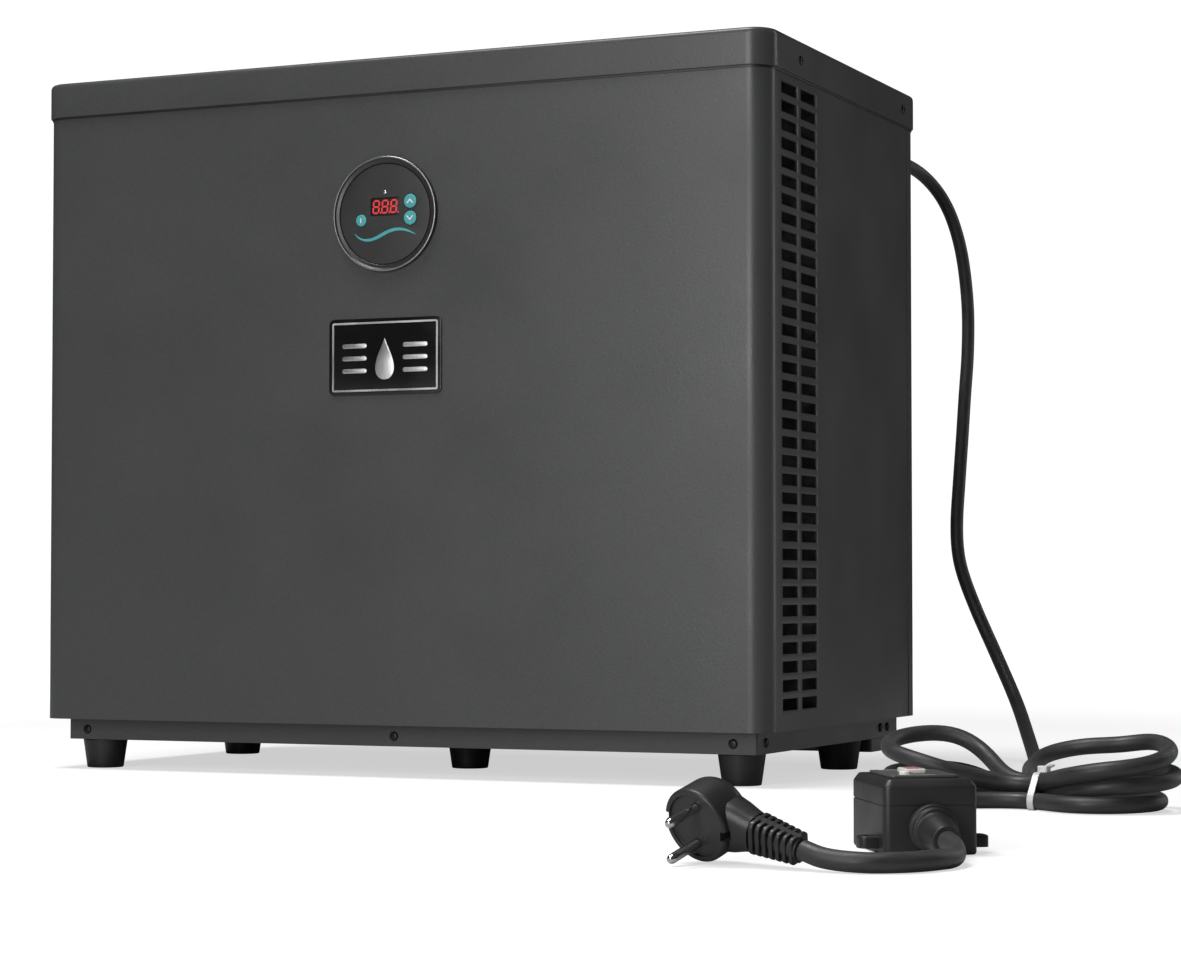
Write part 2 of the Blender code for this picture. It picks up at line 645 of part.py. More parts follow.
def electric_box(plastic, dark):
    """A tray for the control board, and its cover, at the top of the compressor chamber."""
    x0, x1, y0, y1 = 104 * MM, 268 * MM, back(106 * MM), back(216 * MM)

    def ring(inset, z):
        return rectangle(x0 + inset, x1 - inset, y0 + inset, y1 - inset, 4 * MM, z, 2)

    skin("electric_box", [ring(0, 380 * MM), ring(0, 472 * MM), ring(2 * MM, 472 * MM),
                          ring(2 * MM, 382 * MM)], plastic)
    skin("electric_cover", [ring(0, 472.3 * MM), ring(0, 475 * MM)], dark)


# ---------------------------------------------------------------- mains lead

def cable_gland(plastic):
    """The gland in the rear panel: lock nut inside, cap and tapered sleeve outside."""
    profile = ((12 * MM, 306 * MM), (12 * MM, 312.2 * MM), (8.2 * MM, 312.2 * MM), (8.2 * MM, 315.3 * MM),
               (13 * MM, 315.3 * MM), (13 * MM, 322 * MM), (11.5 * MM, 327 * MM), (8.5 * MM, 331 * MM),
               (6.4 * MM, GLAND_END))
    turned("cable_gland", (GLAND_X, FRONT_Y, GLAND_Z), (0, 1, 0), profile, plastic, 14)


def hank_point(along, across, z):
    """A place given along and across the hank."""
    c, s = math.cos(HANK_TURN), math.sin(HANK_TURN)
    return Vector((HANK_CENTRE.x + along * c - across * s, HANK_CENTRE.y + along * s + across * c, z))


def hank_outline():
    """Two round lobes and the waist that the tie holds, as (along, across) pairs."""
    lobe, waist, steps = 40 * MM, 24 * MM, 7
    points = []
    for side, half in ((1, 86 * MM), (-1, 98 * MM)):
        for i in range(steps + 1):
            angle = math.radians(-90 + 180 * i / steps)
            points.append((side * (half - lobe + lobe * math.cos(angle)),
                           side * lobe * math.sin(angle)))
        points += [(side * 14 * MM, side * waist), (-side * 14 * MM, side * waist)]
    return points


def hank(rubber, white):
    rings = [[hank_point(a, b, z) for a, b in hank_outline()] for z in (0.3 * MM, HANK_H)]
    skin("cord_hank", rings, rubber)
    inner, outer = 24.4 * MM, 25.8 * MM

    def band(half, low, high):
        return [(-half, low), (half, low), (half, high), (-half, high)]

    rings = []
    for along, (half, low, high) in ((-2.5 * MM, (outer, 0, HANK_H + 1.8 * MM)),
                                     (2.5 * MM, (outer, 0, HANK_H + 1.8 * MM)),
                                     (2.5 * MM, (inner, 0.1 * MM, HANK_H + 0.4 * MM)),
                                     (-2.5 * MM, (inner, 0.1 * MM, HANK_H + 0.4 * MM))):
        rings.append([hank_point(along, across, z) for across, z in band(half, low, high)])
    skin("hank_tie", rings, white, closed=True)


def switch_point(along, across, z):
    """A place given along the safety switch, towards the plug, and across it."""
    c, s = math.cos(SWITCH_TURN), math.sin(SWITCH_TURN)
    return Vector((SWITCH_CENTRE.x + along * c - across * s, SWITCH_CENTRE.y + along * s + across * c, z))


def switch_block(name, along, across, z, radius, material, **options):
    """A block with round upright edges, turned with the safety switch."""
    rings = []
    for height in z:
        flat = rectangle(along[0], along[1], across[0], across[1], radius, height, 3)
        rings.append([switch_point(*point) for point in flat])
    return skin(name, rings, material, **options)


def safety_switch(dark, grey, white, rubber):
    """The residual-current switch in the lead, with a reset key, a test key and two ribbed boots."""
    half_l, half_w, top = SWITCH_SIZE[0] / 2, SWITCH_SIZE[1] / 2, SWITCH_SIZE[2]
    body = switch_block("switch_body", (-half_l, half_l), (-half_w, half_w), (0.3 * MM, top), 4 * MM, dark)
    for side in (-1, 1):
        lug = switch_block(f"switch_lug_{side}", (10 * MM, 22 * MM),
                           sorted((side * (half_w - 3 * MM), side * (half_w + 9 * MM))),
                           (3 * MM, 9 * MM), 2 * MM, None)
        shape(body, lug, "UNION")
    plate = switch_block("switch_plate", (-24 * MM, 22 * MM), (-17 * MM, 17 * MM),
                         (top + GAP, top + 1.4 * MM), 2 * MM, grey)
    for name, along, across, half_a, half_b, material in (
            ("reset_key", -4 * MM, 0, 8 * MM, 5.5 * MM, white),
            ("test_key", 14 * MM, -8 * MM, 3 * MM, 3 * MM, white)):
        wide = KEY_CLEARANCE
        slot = ((along - half_a - wide, along + half_a + wide), (across - half_b - wide, across + half_b + wide))
        shape(body, switch_block("slot_" + name, *slot, (top - 6 * MM, top + 9 * MM), 0.8 * MM, None))
        shape(plate, switch_block("hole_" + name, *slot, (top - 9 * MM, top + 9 * MM), 0.8 * MM, None))
        origin = switch_point(along, across, top)
        key = switch_block(name, (along - half_a, along + half_a), (across - half_b, across + half_b),
                           (top - 3.5 * MM, top + 3.4 * MM), 0.6 * MM, material, origin=origin)
        carry(mover(name + "_axis", origin), key)
    forward = switch_point(1, 0, 0) - switch_point(0, 0, 0)
    for name, side in (("boot_out", 1), ("boot_in", -1)):
        start = switch_point(side * (half_l + GAP), 0, BOOT_Z)
        drop = Vector((0, 0, -BOOT_DROP))
        turned(name, start, forward * side + drop,
               ((12 * MM, 2.2 * MM), (12 * MM, 6 * MM), (9.5 * MM, 8 * MM), (8.5 * MM, 18 * MM),
                (6.6 * MM, BOOT_L)), rubber, 12)


def boot_end(side):
    """Where the lead meets the safety switch's boot, on the plug's side or the hank's."""
    forward = switch_point(1, 0, 0) - switch_point(0, 0, 0)
    axis = (forward * side + Vector((0, 0, -BOOT_DROP))).normalized()
    start = switch_point(side * (SWITCH_SIZE[0] / 2 + GAP), 0, BOOT_Z)
    return start + axis * (BOOT_L + CORD_GAP), axis


def plug_frame():
    """Directions of the plug: its pins, its arm, and the way across both."""
    arm = Vector(PLUG_ARM).normalized()
    pins = Vector(PLUG_PINS)
    pins = (pins - arm * pins.dot(arm)).normalized()
    return pins, arm, pins.cross(arm)


def plug(dark, chrome):
    """A right-angled plug that leans on the tips of its two pins."""
    pins, arm, across = plug_frame()
    disc = turned("plug_body", PLUG_CENTRE, pins,
                  ((15 * MM, -13 * MM), (PLUG_R - 1 * MM, -10 * MM), (PLUG_R, -6 * MM), (PLUG_R, 9 * MM),
                   (PLUG_R - 1 * MM, 10 * MM)), dark, 20)
    root = PLUG_CENTRE - pins * 3 * MM
    neck = turned("plug_neck", root, arm, ((12 * MM, 2 * MM), (11 * MM, 22 * MM), (9.5 * MM, 27 * MM)), None, 12)
    shape(disc, neck, "UNION")
    for index, side in enumerate((-1, 1)):
        place = PLUG_CENTRE + pins * (10 * MM + GAP) + across * side * 9.5 * MM
        turned(f"plug_pin_{index + 1}", place, pins,
               ((2.4 * MM, 0), (2.4 * MM, 17.5 * MM), (1.5 * MM, 19 * MM)), chrome, 10)
    turned("plug_boot", root + arm * (27 * MM + GAP), arm,
           ((8 * MM, 0), (7.6 * MM, 12 * MM), (6.4 * MM, PLUG_BOOT_L)), dark, 12)


def plug_cord_end():
    pins, arm, _ = plug_frame()
    return PLUG_CENTRE - pins * 3 * MM + arm * (27 * MM + PLUG_BOOT_L + GAP + CORD_GAP), arm


def cords(rubber):
    """The lead's three free lengths: down to the hank, on to the switch, and on to the plug."""
    start = Vector((GLAND_X, back(GLAND_END) + CORD_GAP, GLAND_Z))
    entry = hank_point(*HANK_ENTRY)
    tube("supply_cord", smooth_path([start] + [Vector(point) for point in SUPPLY_ROUTE] + [entry],
                                    2.8 * CORD_D), CORD_D, rubber)
    end, axis = boot_end(-1)
    leave = hank_point(*HANK_EXIT)
    tube("switch_cord", smooth_path([leave] + [Vector(point) for point in SWITCH_ROUTE]
                                    + [end + axis * 14 * MM, end], 2 * CORD_D), CORD_D, rubber)
    start, axis = boot_end(1)
    finish_point, arm = plug_cord_end()
    tube("plug_cord", smooth_path([start, start + axis * 12 * MM] + [Vector(point) for point in PLUG_ROUTE]
                                  + [finish_point + arm * 12 * MM, finish_point], 1.6 * CORD_D),
         CORD_D, rubber)


def build():
    clear_scene()
    paint = finish("casing_grey", (0.075, 0.077, 0.080), 0.45)
    sheet = finish("inner_sheet", (0.45, 0.46, 0.47), 0.4, 0.9)
    black = finish("moulded_black", (0.022, 0.022, 0.023), 0.4)
    face = finish("controller_grey", (0.04, 0.042, 0.045), 0.35)
    lens = finish("display_red", (0.10, 0.012, 0.012), 0.15)
    teal = finish("key_teal", (0.07, 0.39, 0.41), 0.4)
    rubber = finish("black_rubber", (0.02, 0.02, 0.02), 0.6)
    steel = finish("compressor_black", (0.03, 0.03, 0.032), 0.35, 0.2)
    copper = finish("copper", (0.72, 0.35, 0.22), 0.3, 1.0)
    fins = finish("coil_fins", (0.55, 0.56, 0.58), 0.35, 1.0)
    pvc = finish("grey_pipe", (0.16, 0.165, 0.17), 0.5)
    white = finish("white_plastic", (0.8, 0.8, 0.78), 0.4)
    chrome = finish("pin_chrome", (0.75, 0.75, 0.75), 0.2, 1.0)
    front_casing(paint)
    rear_panel(paint)
    top_cover(paint)
    base_pan(paint)
    rear_rail(paint)
    feet(rubber)
    controller(black, face, lens, teal)
    badge_plate(black)
    fan_guard(black)
    fan_shroud(black)
    fan_rotor(black)
    fan_motor(steel)
    motor_bracket(sheet)
    evaporator_coil(fins)
    partition(sheet)
    compressor(steel, rubber)
    heat_exchanger(pvc)
    water_union("water_inlet", PORT_LOW_Z, pvc, black)
    water_union("water_outlet", PORT_HIGH_Z, pvc, black)
    drain_nozzle(black)
    pipework(copper, copper)
    electric_box(pvc, black)
    cable_gland(black)
    hank(rubber, white)
    safety_switch(black, pvc, white, rubber)
    plug(black, chrome)
    cords(rubber)


build()
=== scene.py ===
"""Looks of a plug-in pool heat pump: cabinet, controller, fan, water unions, mains lead and safety switch.

Metres, +Z up, +Y towards the back of the unit, +X to the right of someone facing the controller.
"""
import math

import bmesh
import bpy
from mathutils import Matrix, Vector


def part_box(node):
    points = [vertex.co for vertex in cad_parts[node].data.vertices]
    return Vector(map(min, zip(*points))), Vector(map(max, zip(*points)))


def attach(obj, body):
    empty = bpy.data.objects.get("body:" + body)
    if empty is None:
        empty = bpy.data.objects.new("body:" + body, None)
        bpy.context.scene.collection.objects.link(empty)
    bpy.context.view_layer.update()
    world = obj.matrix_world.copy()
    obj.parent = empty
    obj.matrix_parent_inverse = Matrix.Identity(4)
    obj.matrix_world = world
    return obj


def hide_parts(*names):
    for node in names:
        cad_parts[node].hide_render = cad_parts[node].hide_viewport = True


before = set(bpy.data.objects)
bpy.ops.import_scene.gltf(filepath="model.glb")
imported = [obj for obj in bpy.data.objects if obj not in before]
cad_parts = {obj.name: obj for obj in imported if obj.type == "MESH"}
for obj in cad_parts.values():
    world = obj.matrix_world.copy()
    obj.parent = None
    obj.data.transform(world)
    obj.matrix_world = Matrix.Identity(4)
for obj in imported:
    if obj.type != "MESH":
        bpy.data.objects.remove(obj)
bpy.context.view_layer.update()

MM = 0.001
FRONT_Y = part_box("front_casing")[0].y
REAR_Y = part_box("rear_panel")[1].y
HALF_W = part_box("front_casing")[1].x
BODY_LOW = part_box("front_casing")[0].z
LID_LOW, LID_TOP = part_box("top_cover")[0].z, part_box("top_cover")[1].z
CONTROL_Z = 387 * MM
FAN = Vector((-85 * MM, REAR_Y, 250 * MM))
UNION_X, INLET_Z, OUTLET_Z = 226 * MM, 95 * MM, 295 * MM
DRAIN_X, DRAIN_Z = -200 * MM, 56 * MM
GLAND_X, GLAND_Z = 250 * MM, 457 * MM
SHARP_EDGE = math.radians(34)       # faces that meet at less than this are shaded as one


def back(distance):
    """The Y of a place this many millimetres behind the cabinet's front face."""
    return FRONT_Y + distance * MM


def mm(points):
    """Flat points drawn in millimetres, in metres."""
    return [(a * MM, b * MM) for a, b in points]


def in_scene(name, data):
    """An object made of this data and linked into the scene."""
    made = bpy.data.objects.new(name, data)
    bpy.context.scene.collection.objects.link(made)
    return made


# ---------------------------------------------------------------- finishes

class Finish:
    """A principled material whose grain, tone and relief come from noise on object coordinates."""

    def __init__(self, name, colour, roughness, metallic=0.0, **constants):
        self.material = bpy.data.materials.new(name)
        self.material.use_nodes = True
        self.tree = self.material.node_tree
        self.shader = self.tree.nodes["Principled BSDF"]
        self.colour = (*colour, 1)
        self.set(self.shader, Base_Color=self.colour, Roughness=roughness, Metallic=metallic, **constants)
        self.coordinates = self.add("ShaderNodeTexCoord").outputs["Object"]
        self.height = None

    def set(self, node, **values):
        """Link or fill sockets, named with an underscore for each space."""
        for key, value in values.items():
            socket = node.inputs[key.replace("_", " ")]
            if isinstance(value, bpy.types.NodeSocket):
                self.tree.links.new(value, socket)
            else:
                socket.default_value = value

    def add(self, kind, **values):
        made = self.tree.nodes.new(kind)
        self.set(made, **values)
        return made

    def noise(self, scale, detail=3.0, stretch=None):
        where = self.coordinates
        if stretch:
            where = self.add("ShaderNodeMapping", Vector=where, Scale=stretch).outputs["Vector"]
        return self.add("ShaderNodeTexNoise", Vector=where, Scale=scale, Detail=detail).outputs["Fac"]

    def between(self, value, low, high, start=0.0, end=1.0):
        """Carry a value from one range to another."""
        made = self.add("ShaderNodeMapRange", Value=value, From_Min=start, From_Max=end, To_Min=low, To_Max=high)
        return made.outputs["Result"]

    def mix(self, factor, first, second):
        made = self.tree.nodes.new("ShaderNodeMix")
        made.data_type = "RGBA"
        for index, value in ((0, factor), (6, first), (7, second)):
            if isinstance(value, bpy.types.NodeSocket):
                self.tree.links.new(value, made.inputs[index])
            else:
                made.inputs[index].default_value = value
        return made.outputs[2]

    def tone(self, value, darker, lighter, start=0.3, end=0.7):
        """Vary the base colour between two strengths of itself, on top of what is there."""
        shades = [tuple(min(1, c * k) for c in self.colour[:3]) + (1,) for k in (darker, lighter)]
        factor = self.between(value, 0, 1, start, end)
        self.set(self.shader, Base_Color=self.mix(factor, *shades))
        return self

    def gloss(self, value, low, high, start=0.3, end=0.7):
        """Vary the roughness between two values."""
        self.set(self.shader, Roughness=self.between(value, low, high, start, end))
        return self

    def relief(self, value, depth, strength=1.0):
        """Add a bump this deep, in metres, on top of any other."""
        made = self.add("ShaderNodeBump", Height=value, Distance=depth, Strength=strength)
        if self.height:
            self.set(made, Normal=self.height)
        self.height = made.outputs["Normal"]
        self.set(self.shader, Normal=self.height)
        return self


def powder_coat(name, colour, roughness=0.34):
    """Baked powder paint: orange peel, a fine speckle and slight handling marks."""
    made = Finish(name, colour, roughness, Specular_IOR_Level=0.42)
    made.tone(made.noise(1600, 2), 0.86, 1.15).gloss(made.noise(14, 4), roughness - 0.05, roughness + 0.07)
    return made.relief(made.noise(620, 3), 0.00012, 0.5).relief(made.noise(2600, 1), 0.00003, 0.5)


def moulded(name, colour, roughness, grain=1500, depth=0.00005, **constants):
    """Moulded plastic with a fine spark-eroded grain."""
    made = Finish(name, colour, roughness, **constants)
    made.tone(made.noise(60, 4), 0.9, 1.12).gloss(made.noise(25, 4), roughness - 0.06, roughness + 0.08)
    return made.relief(made.noise(grain, 2), depth, 0.6)


def brushed(name, colour, roughness, stretch, depth=0.00002):
    """Metal with fine drawn lines along one way."""
    made = Finish(name, colour, roughness, 1.0)
    lines = made.noise(900, 3, stretch)
    made.tone(lines, 0.85, 1.1).gloss(made.noise(30, 3), roughness - 0.06, roughness + 0.1)
    return made.relief(lines, depth, 0.6)


def galvanised(name):
    """Zinc-coated sheet with its crystal pattern."""
    made = Finish(name, (0.50, 0.51, 0.52), 0.38, 0.9)
    cells = made.add("ShaderNodeTexVoronoi", Vector=made.coordinates, Scale=120.0)
    grey = made.add("ShaderNodeSeparateColor", Color=cells.outputs["Color"]).outputs["Red"]
    return made.tone(grey, 0.78, 1.12, 0.0, 1.0).gloss(grey, 0.28, 0.5, 0.0, 1.0).relief(made.noise(400), 0.00004)


def sheath(name, colour, roughness):
    """Rubber lead sheath: slight lengthwise drag lines, dust and scuffs."""
    made = Finish(name, colour, roughness, Specular_IOR_Level=0.5, Sheen_Weight=0.08, Sheen_Roughness=0.6)
    made.coordinates = made.add("ShaderNodeTexCoord").outputs["UV"]
    drag = made.noise(30, 3, (1.0, 14.0, 1.0))
    scuff = made.noise(9, 5, (6.0, 1.5, 1.0))
    made.tone(scuff, 0.8, 1.35).gloss(scuff, roughness - 0.10, roughness + 0.12)
    return made.relief(drag, 0.00010, 0.5).relief(made.noise(140, 2, (9.0, 1.0, 1.0)), 0.00006, 0.5)


def glowing(name, colour, strength):
    """A lit segment of a display."""
    made = Finish(name, colour, 0.35, Emission_Color=(*colour, 1), Emission_Strength=strength)
    return made.tone(made.noise(700, 2), 0.9, 1.05)


PAINT = powder_coat("casing_powder_coat", (0.066, 0.067, 0.069))
RUBBER = moulded("foot_rubber", (0.016, 0.016, 0.017), 0.42, 900, 0.00006)
BLACK = moulded("moulded_black", (0.018, 0.018, 0.019), 0.38)
BEZEL = moulded("bezel_satin", (0.026, 0.026, 0.027), 0.30, 2200, 0.00002)
FACE = moulded("overlay_satin", (0.0245, 0.0245, 0.025), 0.5, 2400, 0.00002)
BADGE = moulded("badge_gloss", (0.004, 0.004, 0.004), 0.22, 300, 0.00002, Coat_Weight=0.5)
SILVER = brushed("badge_silver", (0.80, 0.80, 0.81), 0.32, (1.0, 1.0, 0.1))
WINDOW = moulded("display_window_smoked", (0.022, 0.018, 0.018), 0.25, 300, 0.00001, Coat_Weight=0.3)
DIGIT = glowing("display_digit_lit", (0.68, 0.045, 0.050), 0.42)
TEAL = moulded("key_teal_satin", (0.075, 0.395, 0.415), 0.42, 2400, 0.00002)
WHITE_INK = moulded("printed_white", (0.82, 0.82, 0.82), 0.45, 2400, 0.00001)
FAN_BLACK = moulded("fan_moulded_black", (0.020, 0.020, 0.021), 0.42)
WIRE = powder_coat("guard_coated_wire", (0.020, 0.020, 0.021), 0.36)
GALVANISED = galvanised("inner_galvanised")
ENAMEL = powder_coat("motor_enamel", (0.020, 0.020, 0.022), 0.3)
FIN = brushed("coil_fin_aluminium", (0.62, 0.63, 0.65), 0.34, (1.0, 1.0, 0.08))
MOUNT = moulded("mount_rubber_matte", (0.020, 0.020, 0.020), 0.6, 900, 0.00008)
PIPE = moulded("pipe_rigid_grey", (0.15, 0.155, 0.16), 0.36, 1200, 0.00004)
COPPER = brushed("drawn_copper", (0.72, 0.35, 0.22), 0.28, (0.2, 1.0, 1.0))
SHEATH = sheath("lead_rubber", (0.024, 0.024, 0.025), 0.46)
TIE = moulded("tie_nylon", (0.78, 0.78, 0.76), 0.35, 1800, 0.00003, Subsurface_Weight=0.05)
SWITCH = moulded("switch_moulded", (0.022, 0.022, 0.023), 0.40, 1300, 0.00008)
LABEL = moulded("label_printed", (0.082, 0.083, 0.086), 0.5, 1900, 0.00004)
KEY = moulded("key_smooth_white", (0.80, 0.80, 0.78), 0.28, 2600, 0.00001)
RED_INK = moulded("printed_red", (0.62, 0.03, 0.035), 0.45, 2400, 0.00001)
CHROME = brushed("pin_nickel", (0.72, 0.72, 0.72), 0.16, (0.1, 0.1, 1.0))
# Pale metal for a thin band on the controller bezel's chamfer. It is a painted highlight, standing in for the bright
# line the chamfer catches.
BEZEL_HIGHLIGHT_METAL = brushed("bezel_painted_highlight_edge", (0.34, 0.34, 0.35), 0.35, (1.0, 1.0, 1.0))
SCREW = brushed("screw_black_zinc", (0.045, 0.045, 0.047), 0.38, (1.0, 1.0, 1.0))


# ---------------------------------------------------------------- mesh tools

def to_mesh(shape, name="blank"):
    """The plain mesh of a bmesh, with its faces turned outwards."""
    bmesh.ops.recalc_face_normals(shape, faces=shape.faces)
    mesh = bpy.data.meshes.new(name)
    shape.to_mesh(mesh)
    shape.free()
    return mesh


def keep(name, shape, finish, slot, body="cabinet", stands_for=()):
    """Make a finished piece of a bmesh or mesh: its place stays in its vertices, and it rides on a body."""
    mesh = to_mesh(shape) if isinstance(shape, bmesh.types.BMesh) else shape
    mesh.name = name
    mesh.materials.clear()
    mesh.materials.append(finish.material)
    mesh.shade_smooth()
    mesh.set_sharp_from_angle(angle=SHARP_EDGE)
    made = in_scene(name, mesh)
    if stands_for:
        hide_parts(*stands_for)
    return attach(made, body)


def loft(rings, closed=False, into=None, caps=True):
    """Join rings of points with faces; a ring of one point is a pole."""
    made = into or bmesh.new()
    rows = [[made.verts.new(point) for point in ring] for ring in rings]
    pairs = list(zip(rows, rows[1:])) + ([(rows[-1], rows[0])] if closed else [])
    for first, second in pairs:
        count = max(len(first), len(second))
        for i in range(count):
            j = (i + 1) % count
            corners = (first[i % len(first)], first[j % len(first)],
                       second[j % len(second)], second[i % len(second)])
            unique = list(dict.fromkeys(corners))
            if len(unique) > 2:
                made.faces.new(unique)
    if caps and not closed:
        for row in (rows[0], rows[-1]):
            if len(row) > 2:
                made.faces.new(row)
    return made


def fillet(points, radius, steps=4, closed=False):
    """Round the corners of a drawn line, all by one radius or each by its own, as far as its edges have room."""
    points = [Vector(p) for p in points]
    count = len(points)
    radii = radius if isinstance(radius, (tuple, list)) else [radius] * count
    result = []
    for i, corner in enumerate(points):
        if not closed and i in (0, count - 1):
            result.append(corner)
            continue
        before, after = points[i - 1] - corner, points[(i + 1) % count] - corner
        reach = min(radii[i], 0.46 * before.length, 0.46 * after.length)
        if reach < 1e-6:
            result.append(corner)
            continue
        start, end = corner + before.normalized() * reach, corner + after.normalized() * reach
        for step in range(steps + 1):
            t = step / steps
            result.append(start * (1 - t) ** 2 + corner * 2 * t * (1 - t) + end * t * t)
    return result


def lathe(profile, centre, axis, segments=64, closed=False):
    """Turn a profile of (radius, distance along the axis), in millimetres, about an axis."""
    axis = Vector(axis).normalized()
    across = axis.orthogonal().normalized()
    other = axis.cross(across)
    rings = []
    for radius, along in profile:
        middle = Vector(centre) + axis * along * MM
        if radius < 1e-4:
            rings.append([middle])
            continue
        angles = [math.tau * i / segments for i in range(segments)]
        rings.append([middle + (across * math.cos(t) + other * math.sin(t)) * radius * MM for t in angles])
    return loft(rings, closed)


def turned(name, centre, axis, profile, finish, slot, radius=0.6, segments=64, closed=False, steps=3, **options):
    """A turned piece with softened edges."""
    soft = fillet(profile, radius, steps, closed)
    return keep(name, lathe(soft, centre, axis, segments, closed), finish, slot, **options)


def rectangle(x0, x1, y0, y1, radius, steps=6):
    """A flat outline with round corners, counter-clockwise."""
    points = []
    for x, y, start in ((x1, y1, 0), (x0, y1, 90), (x0, y0, 180), (x1, y0, 270)):
        cx = x - math.copysign(radius, x - (x0 + x1) / 2)
        cy = y - math.copysign(radius, y - (y0 + y1) / 2)
        for i in range(steps + 1):
            angle = math.radians(start + 90 * i / steps)
            points.append((cx + radius * math.cos(angle), cy + radius * math.sin(angle)))
    return points


def outset(outline, distance):
    """Move a counter-clockwise outline outwards, or inwards for less than zero."""
    points = [Vector(p) for p in outline]
    moved = []
    for i, point in enumerate(points):
        before, after = point - points[i - 1], points[(i + 1) % len(points)] - point
        normals = [Vector((d.y, -d.x)).normalized() for d in (before, after) if d.length > 1e-9]
        normal = sum(normals, Vector((0, 0)))
        normal.normalize()
        spread = max(0.4, normal.dot(normals[0]))
        moved.append(point + normal * distance / spread)
    return moved


def slab(outline, place, low, high, edge=0.0, into=None, steps=3):
    """Raise a drawn outline between two heights, with a round upper edge; place maps (a, b, height) to a point."""
    heights = [(0, low), (0, high)]
    if edge:
        turns = [math.pi / 2 * step / steps for step in range(steps + 1)]
        heights = [(0, low)] + [(-edge * (1 - math.cos(t)), high - edge * (1 - math.sin(t))) for t in turns]
    rings = [[place(a, b, height) for a, b in (outset(outline, grow) if grow else outline)]
             for grow, height in heights]
    return loft(rings, into=into)


def on_front(a, b, height):
    """A place on the front face: across and up from the controller's axis, and out of the face."""
    return Vector((a, FRONT_Y - height, CONTROL_Z + b))


def cut(mesh, tools, operation="DIFFERENCE"):
    """The mesh after a boolean with each bmesh tool."""
    target = in_scene("cut_target", mesh)
    helpers = [in_scene("cut_tool", to_mesh(tool)) for tool in tools]
    for helper in helpers:
        modifier = target.modifiers.new("cut", "BOOLEAN")
        modifier.operation, modifier.solver, modifier.object = operation, "EXACT", helper
    result = evaluated_mesh(target)
    for item in [target, *helpers]:
        bpy.data.objects.remove(item)
    return result


def evaluated_mesh(target):
    """The plain mesh that an object shows with its modifiers."""
    graph = bpy.context.evaluated_depsgraph_get()
    graph.update()
    return bpy.data.meshes.new_from_object(target.evaluated_get(graph), depsgraph=graph)


def joined(*meshes):
    """One bmesh of several meshes, with shared points merged."""
    made = bmesh.new()
    for mesh in meshes:
        made.from_mesh(mesh)
    bmesh.ops.remove_doubles(made, verts=made.verts, dist=1e-6)
    return made


# ---------------------------------------------------------------- geometry node tools

def tree_with(name, inputs):
    """An empty tree with a geometry input and output, a material input, and named sizes."""
    tree = bpy.data.node_groups.new(name, "GeometryNodeTree")
    tree.interface.new_socket("Geometry", in_out="INPUT", socket_type="NodeSocketGeometry")
    tree.interface.new_socket("Material", in_out="INPUT", socket_type="NodeSocketMaterial")
    for label, kind in inputs:
        tree.interface.new_socket(label, in_out="INPUT", socket_type="NodeSocket" + kind)
    tree.interface.new_socket("Geometry", in_out="OUTPUT", socket_type="NodeSocketGeometry")
    start, end = tree.nodes.new("NodeGroupInput"), tree.nodes.new("NodeGroupOutput")

    def add(kind, sockets=None, **settings):
        made = tree.nodes.new(kind)
        for key, value in settings.items():
            setattr(made, key, value)
        for key, value in (sockets or {}).items():
            if isinstance(value, bpy.types.NodeSocket):
                tree.links.new(value, made.inputs[key])
            else:
                made.inputs[key].default_value = value
        return made

    def close(geometry):
        real = add("GeometryNodeRealizeInstances", {"Geometry": geometry})
        painted = add("GeometryNodeSetMaterial", {"Geometry": real.outputs["Geometry"],
                                                  "Material": start.outputs["Material"]})
        tree.links.new(painted.outputs["Geometry"], end.inputs["Geometry"])

    return tree, start.outputs, add, close


def rows_tree():
    """Repeat a piece in columns and rows, shrinking along the columns if asked."""
    tree, given, add, close = tree_with("rows_and_columns", (
        ("Columns", "Int"), ("Rows", "Int"), ("Column step", "Vector"), ("Row step", "Vector"),
        ("Last scale", "Float")))
    points = add("GeometryNodePoints", {"Count": add("ShaderNodeMath", {0: given["Columns"], 1: given["Rows"]},
                                                     operation="MULTIPLY").outputs[0]})
    index = add("GeometryNodeInputIndex").outputs[0]
    row = add("ShaderNodeMath", {0: index, 1: given["Columns"]}, operation="DIVIDE")
    row = add("ShaderNodeMath", {0: row.outputs[0]}, operation="FLOOR").outputs[0]
    column = add("ShaderNodeMath", {0: index, 1: given["Columns"]}, operation="MODULO").outputs[0]
    along = add("ShaderNodeVectorMath", {0: given["Column step"], "Scale": column}, operation="SCALE").outputs[0]
    up = add("ShaderNodeVectorMath", {0: given["Row step"], "Scale": row}, operation="SCALE").outputs[0]
    place = add("ShaderNodeVectorMath", {0: along, 1: up}, operation="ADD").outputs[0]
    last = add("ShaderNodeMath", {0: given["Columns"], 1: 1.0}, operation="SUBTRACT").outputs[0]
    last = add("ShaderNodeMath", {0: last, 1: 1.0}, operation="MAXIMUM").outputs[0]
    share = add("ShaderNodeMath", {0: column, 1: last}, operation="DIVIDE").outputs[0]
    size = add("ShaderNodeMapRange", {"Value": share, "To Min": 1.0, "To Max": given["Last scale"]}).outputs[0]
    moved = add("GeometryNodeSetPosition", {"Geometry": points.outputs[0], "Offset": place})
    close(add("GeometryNodeInstanceOnPoints", {"Points": moved.outputs[0], "Instance": given["Geometry"],
                                               "Scale": size}).outputs[0])
    return tree


